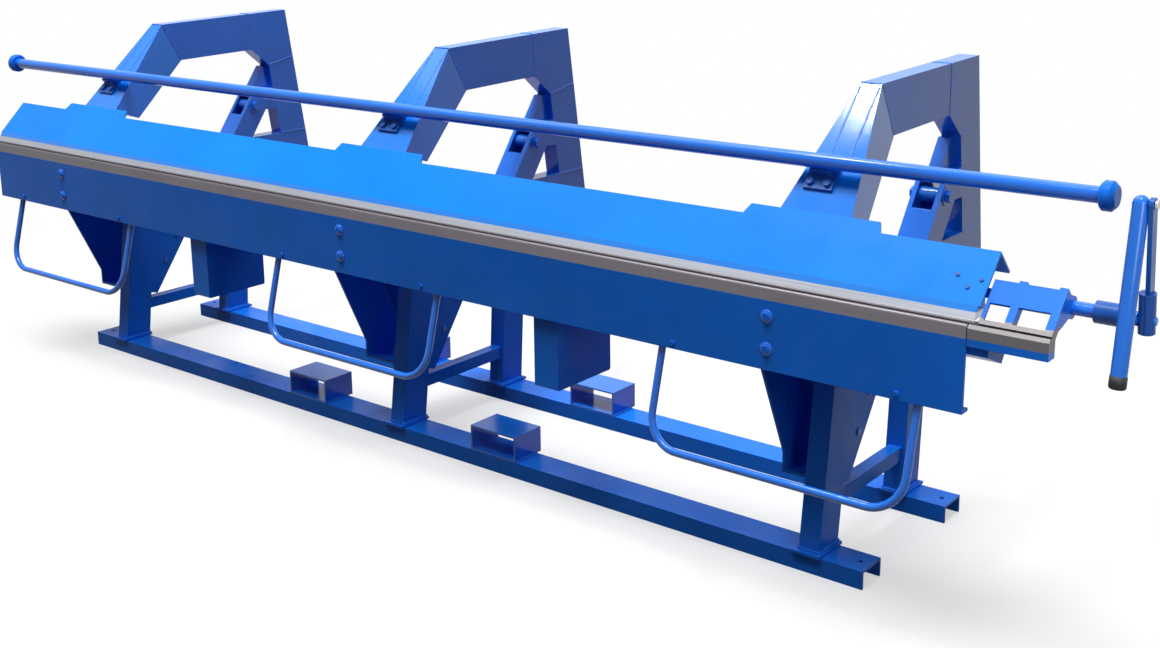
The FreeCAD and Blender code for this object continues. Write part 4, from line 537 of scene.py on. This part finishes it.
def make_leg_welds():
    """Beads round the legs where they meet the foot plates and the frames' lower arms."""
    verts, faces = [], []
    for side in SIDES:
        for leg in ("front_leg", "rear_leg"):
            node = f"{leg}_{side}"
            low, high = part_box(node)
            for z, up in ((low.z, 1), (high.z, -1)):
                x0, x1, y0, y1 = level_box(node, z)
                ring = [(x0, y0), (x1, y0), (x1, y1), (x0, y1), (x0, y0)]
                path = [Vector((x, y, z + up * FILLET_LIFT)) for x, y in ring]
                bead(verts, faces, path, Vector((0, 0, up)), FILLET_RADIUS)
    mesh = make_mesh("leg_welds", verts, faces)
    place("leg_welds", mesh, SATIN, "base")


def make_pocket_welds():
    """Beads along the foot of each fork pocket, on the rails."""
    verts, faces = [], []
    for rail in ("front", "rear"):
        rail_low, rail_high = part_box(f"rail_{rail}")
        for side in ("left", "right"):
            low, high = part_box(f"fork_pocket_{rail}_{side}")
            front = max(low.y, rail_low.y)
            back = min(high.y, rail_high.y)
            for x in (low.x, high.x):
                path = [Vector((x, front, FILLET_LIFT)), Vector((x, back, FILLET_LIFT))]
                bead(verts, faces, path, Vector((0, 0, 1)), FILLET_RADIUS)
    mesh = make_mesh("pocket_welds", verts, faces)
    place("pocket_welds", mesh, SATIN, "base")


def make_arm_welds(side):
    """Beads along the nose arm's sloping face, over the edges of its box."""
    node = f"nose_arm_{side}"
    low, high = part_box(node)
    centre = (low.x + high.x) / 2
    head = corner_of(node, *ARM_HEAD)
    foot = corner_of(node, *ARM_FOOT)
    slope = Vector((0, foot[0] - head[0], foot[1] - head[1]))
    out = Vector((0, slope.z, -slope.y)).normalized()
    verts, faces = [], []
    for edge in (-1, 1):
        x = centre + edge * (BOX_WIDTH / 2 - ARM_EDGE_INSET)
        start = Vector((x, *head)) + slope * ARM_WELD_FROM
        end = Vector((x, *head)) + slope * ARM_WELD_TO
        bead(verts, faces, [start, end], out, SEAM_RADIUS)
    mesh = make_mesh("arm_welds", verts, faces)
    place(f"arm_welds_{side}", mesh, GLOSS, "base")


def bent_plate(low, high):
    """Rear and front outline of a plate with both edges bent forward, as X and depth."""
    outer = [(low, -BACK_FLANGE)]
    inner = [(low + BACK_THICK, -BACK_FLANGE)]
    deep = BACK_THICK - BACK_BEND
    bends = ((low + BACK_BEND, math.pi), (high - BACK_BEND, math.pi / 2))
    outlines = ((outer, BACK_BEND), (inner, BACK_BEND - BACK_THICK))
    for x, first in bends:
        for step in range(BACK_STEPS + 1):
            angle = first - math.pi / 2 * step / BACK_STEPS
            for outline, radius in outlines:
                along = x + radius * math.cos(angle)
                outline.append((along, deep + radius * math.sin(angle)))
    outer.append((high, -BACK_FLANGE))
    inner.append((high - BACK_THICK, -BACK_FLANGE))
    return outer, inner


def make_brace_back(side):
    """The closed rear of the brace's channel: a bent plate, dark behind its window."""
    low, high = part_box(f"brace_{side}")
    outer, inner = bent_plate(low.x + BRACE_SIDE, high.x - BRACE_SIDE)
    count = len(outer)
    top = 2 * count
    verts, faces = [], []
    for z in (BACK_LOW_Z, BACK_HIGH_Z):
        front = BRACE_FOOT_Y + (z - BRACE_FOOT_Z) / math.tan(BRACE_SLOPE) + BACK_OFFSET
        verts += [(x, front + depth, z) for x, depth in outer + inner]
    for near in range(count - 1):
        far = near + 1
        faces.append((near, far, top + far, top + near))
        faces.append((top + count + near, top + count + far, count + far, count + near))
        faces.append((near, count + near, count + far, far))
        faces.append((top + near, top + far, top + count + far, top + count + near))
    faces.append((0, top, top + count, count))
    faces.append((count - 1, 2 * count - 1, top + 2 * count - 1, top + count - 1))
    mesh = make_mesh("brace_back", verts, faces)
    plate = place(f"brace_back_{side}", mesh, SATIN, "base")
    for face in plate.data.polygons:
        face.use_smooth = False


def turned(name, profile, centre, axis, material, body):
    """A turned piece: a profile of (along, radius) round an axis through a centre."""
    across = axis.orthogonal().normalized()
    other = axis.cross(across).normalized()
    verts, faces = [], []
    for along, radius in profile:
        for step in range(TURNED_SIDES):
            angle = 2 * math.pi * step / TURNED_SIDES
            reach = across * math.cos(angle) + other * math.sin(angle)
            verts.append(centre + axis * along + reach * radius)
    for ring in range(len(profile) - 1):
        for step in range(TURNED_SIDES):
            near = ring * TURNED_SIDES + step
            far = ring * TURNED_SIDES + (step + 1) % TURNED_SIDES
            faces.append((near, near + TURNED_SIDES, far + TURNED_SIDES, far))
    faces.append(tuple(range(TURNED_SIDES)))
    faces.append(tuple(range(len(verts) - 1, len(verts) - TURNED_SIDES - 1, -1)))
    place(name, make_mesh(name, verts, faces), material, body)


def bolt_places():
    """X and Z of the apron's large bolts, from the CAD heads' corners."""
    points = [point.co for point in NODES["beam_bolts"].data.vertices]
    large = [point for point in points if point.z > LARGE_BOLTS_FROM]
    found = []
    for point in large:
        if all(math.hypot(point.x - x, point.z - z) > BOLT_REACH for x, z in found):
            near = [p for p in large if math.hypot(p.x - point.x, p.z - point.z) < BOLT_REACH]
            xs = [p.x for p in near]
            zs = [p.z for p in near]
            found.append(((min(xs) + max(xs)) / 2, (min(zs) + max(zs)) / 2))
    return found


def make_washers():
    """A round washer under each of the apron's large bolts."""
    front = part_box("bending_plate")[0].y
    profile = (
        (-WASHER_SINK, WASHER_RADIUS),
        (WASHER_THICK - WASHER_BEVEL_DEEP, WASHER_RADIUS),
        (WASHER_THICK, WASHER_RADIUS - WASHER_BEVEL_WIDE),
        (WASHER_THICK, WASHER_HOLE),
    )
    out = Vector((0, -1, 0))
    for index, (x, z) in enumerate(bolt_places(), 1):
        centre = Vector((x, front, z))
        turned(f"washer_{index}", profile, centre, out, GLOSS, "bending_beam")


def make_handle_cap():
    """A black plastic cap over the lower end of the crank's handle."""
    low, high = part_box("handle_tube")
    pin_low, pin_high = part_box("handle_pin")
    pin = (pin_low + pin_high) / 2
    top = Vector(((low.x + high.x) / 2, pin.y, pin.z))
    along = Vector((0, -math.sin(HANDLE_LEAN), -math.cos(HANDLE_LEAN)))
    end = top + along * HANDLE_LENGTH
    radius = (high.x - low.x) / 2 + CAP_WALL
    profile = [(-CAP_GRIP, radius - CAP_WALL), (-CAP_GRIP, radius)]
    profile += [(CAP_TIP * reach, radius * share) for reach, share in CAP_NOSE]
    turned("handle_cap", profile, end, along, RUBBER, "crank_handle")


for side in SIDES:
    make_frame_welds(side)
    make_arm_welds(side)
    make_brace_back(side)
make_leg_welds()
make_pocket_welds()
make_washers()
make_handle_cap()


# Stage, light and camera

WHITE = (1.0, 1.0, 1.0, 1.0)

# Floor: its shadow shows near the machine and fades out into white.
FLOOR_SIZE = 60.0
FLOOR_DROP = 0.5 * MM
FLOOR_PALE = (0.80, 0.80, 0.80)
FLOOR_ROUGH = 0.9
FLOOR_GRAINS = 2.0
FLOOR_DETAIL = 3.0
FLOOR_SPREAD = (0.3, 0.7)
FLOOR_SHADES = (0.78, 0.82)
FLOOR_GLOW = 0.55
FLOOR_BOUNCE = (0.05, 0.05, 0.05, 1.0)
SHADOW_SQUEEZE = 0.62
SHADOW_NEAR = 1.2
SHADOW_FAR = 2.6

# World: strength near the horizon and overhead, for diffuse light only.
SKY_COLOR = (0.95, 0.98, 1.0, 1.0)
SKY_HORIZON = 0.05
SKY_TOP = 1.0
SKY_LOW = 0.015
SKY_HIGH = 0.19

SUN_FROM = Vector((-0.05, -0.20, 0.97))
SUN_STRENGTH = 3.0
SUN_SPREAD = math.radians(30)

# Lamps: name, place, target, width and depth, watts.
LAMPS = (
    ("overhead", (-0.3, 0.6, 3.9), (0.0, 0.3, 0.0), (5.5, 2.4), 85.0),
    ("glint", (-0.48, -0.64, 5.0), (1.5, -0.05, 1.15), (0.70, 0.34), 60.0),
    ("handle_fill", (2.95, -1.0, 1.2), (2.3, -0.4, 0.9), (0.4, 0.6), 5.0),
)

# Camera, fitted to the photograph.
SENSOR_WIDTH = 36.0
LENS = 43.62
SHIFT_X = -0.01825
SHIFT_Y = -0.0932
EYE = (3.1599, -3.2510, 1.6627)
YAW = math.radians(37.99)
PITCH = math.radians(12.83)
ROLL = 0.0072


def new_node(tree, kind, **inputs):
    """A shader node with some of its sockets set."""
    made = tree.nodes.new(kind)
    for socket, amount in inputs.items():
        made.inputs[socket].default_value = amount
    return made


def seen(tree):
    """A share that is 1 for camera, glossy and transmission rays and 0 for diffuse ones."""
    path = tree.nodes.new("ShaderNodeLightPath")
    total = path.outputs["Is Camera Ray"]
    for ray in ("Is Glossy Ray", "Is Transmission Ray"):
        either = tree.nodes.new("ShaderNodeMath")
        either.operation = "MAXIMUM"
        tree.links.new(total, either.inputs[0])
        tree.links.new(path.outputs[ray], either.inputs[1])
        total = either.outputs["Value"]
    return total


def make_floor():
    """A pale floor that looks white, apart from the machine's shadow near it."""
    bpy.ops.mesh.primitive_plane_add(size=FLOOR_SIZE, location=(0, 0, cad_low.z - FLOOR_DROP))
    floor = bpy.context.object
    floor.name = "floor"
    surface = Shader("floor_paint", FLOOR_PALE, FLOOR_ROUGH)
    tree = surface.tree
    patches = surface.noise(FLOOR_GRAINS, FLOOR_DETAIL)
    grain = surface.band(patches, *FLOOR_SHADES, *FLOOR_SPREAD)
    surface.link(grain, surface.shader, "Base Color")
    surface.set(surface.shader, "Specular IOR Level", 0.0)
    x, y, _ = surface.split()
    along = surface.math("POWER", surface.math("MULTIPLY", x, SHADOW_SQUEEZE), 2.0)
    across = surface.math("POWER", y, 2.0)
    far = surface.math("SQRT", surface.math("ADD", along, across), 0.0)
    away = surface.band(far, 0.0, 1.0, SHADOW_NEAR, SHADOW_FAR)
    glow = new_node(tree, "ShaderNodeEmission", Color=WHITE)
    mixed = tree.nodes.new("ShaderNodeMixShader")
    tree.links.new(surface.band(away, FLOOR_GLOW, 1.0, 0.0, 1.0), mixed.inputs[0])
    tree.links.new(surface.shader.outputs[0], mixed.inputs[1])
    tree.links.new(glow.outputs[0], mixed.inputs[2])
    dim = new_node(tree, "ShaderNodeBsdfDiffuse", Color=FLOOR_BOUNCE)
    chosen = tree.nodes.new("ShaderNodeMixShader")
    tree.links.new(seen(tree), chosen.inputs[0])
    tree.links.new(dim.outputs[0], chosen.inputs[1])
    tree.links.new(mixed.outputs[0], chosen.inputs[2])
    tree.links.new(chosen.outputs[0], tree.nodes["Material Output"].inputs["Surface"])
    floor.data.materials.append(surface.material)


def make_world():
    """White to the camera and in reflections, and a soft sky that is brightest overhead."""
    world = bpy.data.worlds.new("studio")
    bpy.context.scene.world = world
    world.use_nodes = True
    tree = world.node_tree
    direction = tree.nodes.new("ShaderNodeTexCoord")
    parts = tree.nodes.new("ShaderNodeSeparateXYZ")
    tree.links.new(direction.outputs["Generated"], parts.inputs[0])
    height = tree.nodes.new("ShaderNodeMapRange")
    height.interpolation_type = "SMOOTHSTEP"
    height.inputs["From Min"].default_value = SKY_HORIZON
    height.inputs["From Max"].default_value = SKY_TOP
    height.inputs["To Min"].default_value = SKY_LOW
    height.inputs["To Max"].default_value = SKY_HIGH
    tree.links.new(parts.outputs["Z"], height.inputs["Value"])
    sky = tree.nodes["Background"]
    sky.inputs["Color"].default_value = SKY_COLOR
    tree.links.new(height.outputs["Result"], sky.inputs["Strength"])
    white = new_node(tree, "ShaderNodeBackground", Color=WHITE, Strength=1.0)
    mix = tree.nodes.new("ShaderNodeMixShader")
    tree.links.new(seen(tree), mix.inputs[0])
    tree.links.new(sky.outputs[0], mix.inputs[1])
    tree.links.new(white.outputs[0], mix.inputs[2])
    tree.links.new(mix.outputs[0], tree.nodes["World Output"].inputs["Surface"])


def add_light(name, spot, target, size, power):
    """A soft rectangular lamp that faces a place."""
    lamp = bpy.data.lights.new(name, "AREA")
    lamp.shape = "RECTANGLE"
    lamp.size, lamp.size_y = size
    lamp.energy = power
    item = bpy.data.objects.new(name, lamp)
    item.location = spot
    aim = Vector(target) - Vector(spot)
    item.rotation_euler = aim.to_track_quat("-Z", "Y").to_euler()
    bpy.context.scene.collection.objects.link(item)


def add_sun(name, source, strength, spread):
    """A soft, even light from one direction."""
    lamp = bpy.data.lights.new(name, "SUN")
    lamp.energy = strength
    lamp.angle = spread
    item = bpy.data.objects.new(name, lamp)
    item.rotation_euler = (-source).to_track_quat("-Z", "Y").to_euler()
    bpy.context.scene.collection.objects.link(item)


def make_camera():
    """The photograph's camera: eye height, to the machine's front right."""
    lens = bpy.data.cameras.new("camera")
    lens.sensor_width = SENSOR_WIDTH
    lens.lens = LENS
    lens.shift_x = SHIFT_X
    lens.shift_y = SHIFT_Y
    item = bpy.data.objects.new("camera", lens)
    level = Vector((-math.sin(YAW), math.cos(YAW), 0.0))
    forward = level * math.cos(PITCH) + Vector((0.0, 0.0, -math.sin(PITCH)))
    right = Vector((math.cos(YAW), math.sin(YAW), 0.0))
    down = forward.cross(right)
    rolled_right = right * math.cos(ROLL) + down * math.sin(ROLL)
    rolled_down = down * math.cos(ROLL) - right * math.sin(ROLL)
    axes = Matrix((rolled_right, -rolled_down, -forward)).transposed()
    item.matrix_world = Matrix.Translation(EYE) @ axes.to_4x4()
    bpy.context.scene.collection.objects.link(item)
    bpy.context.scene.camera = item


make_floor()
make_world()
make_camera()
add_sun("key", SUN_FROM, SUN_STRENGTH, SUN_SPREAD)
for row in LAMPS:
    add_light(*row)
bpy.context.scene.view_settings.view_transform = "Standard"
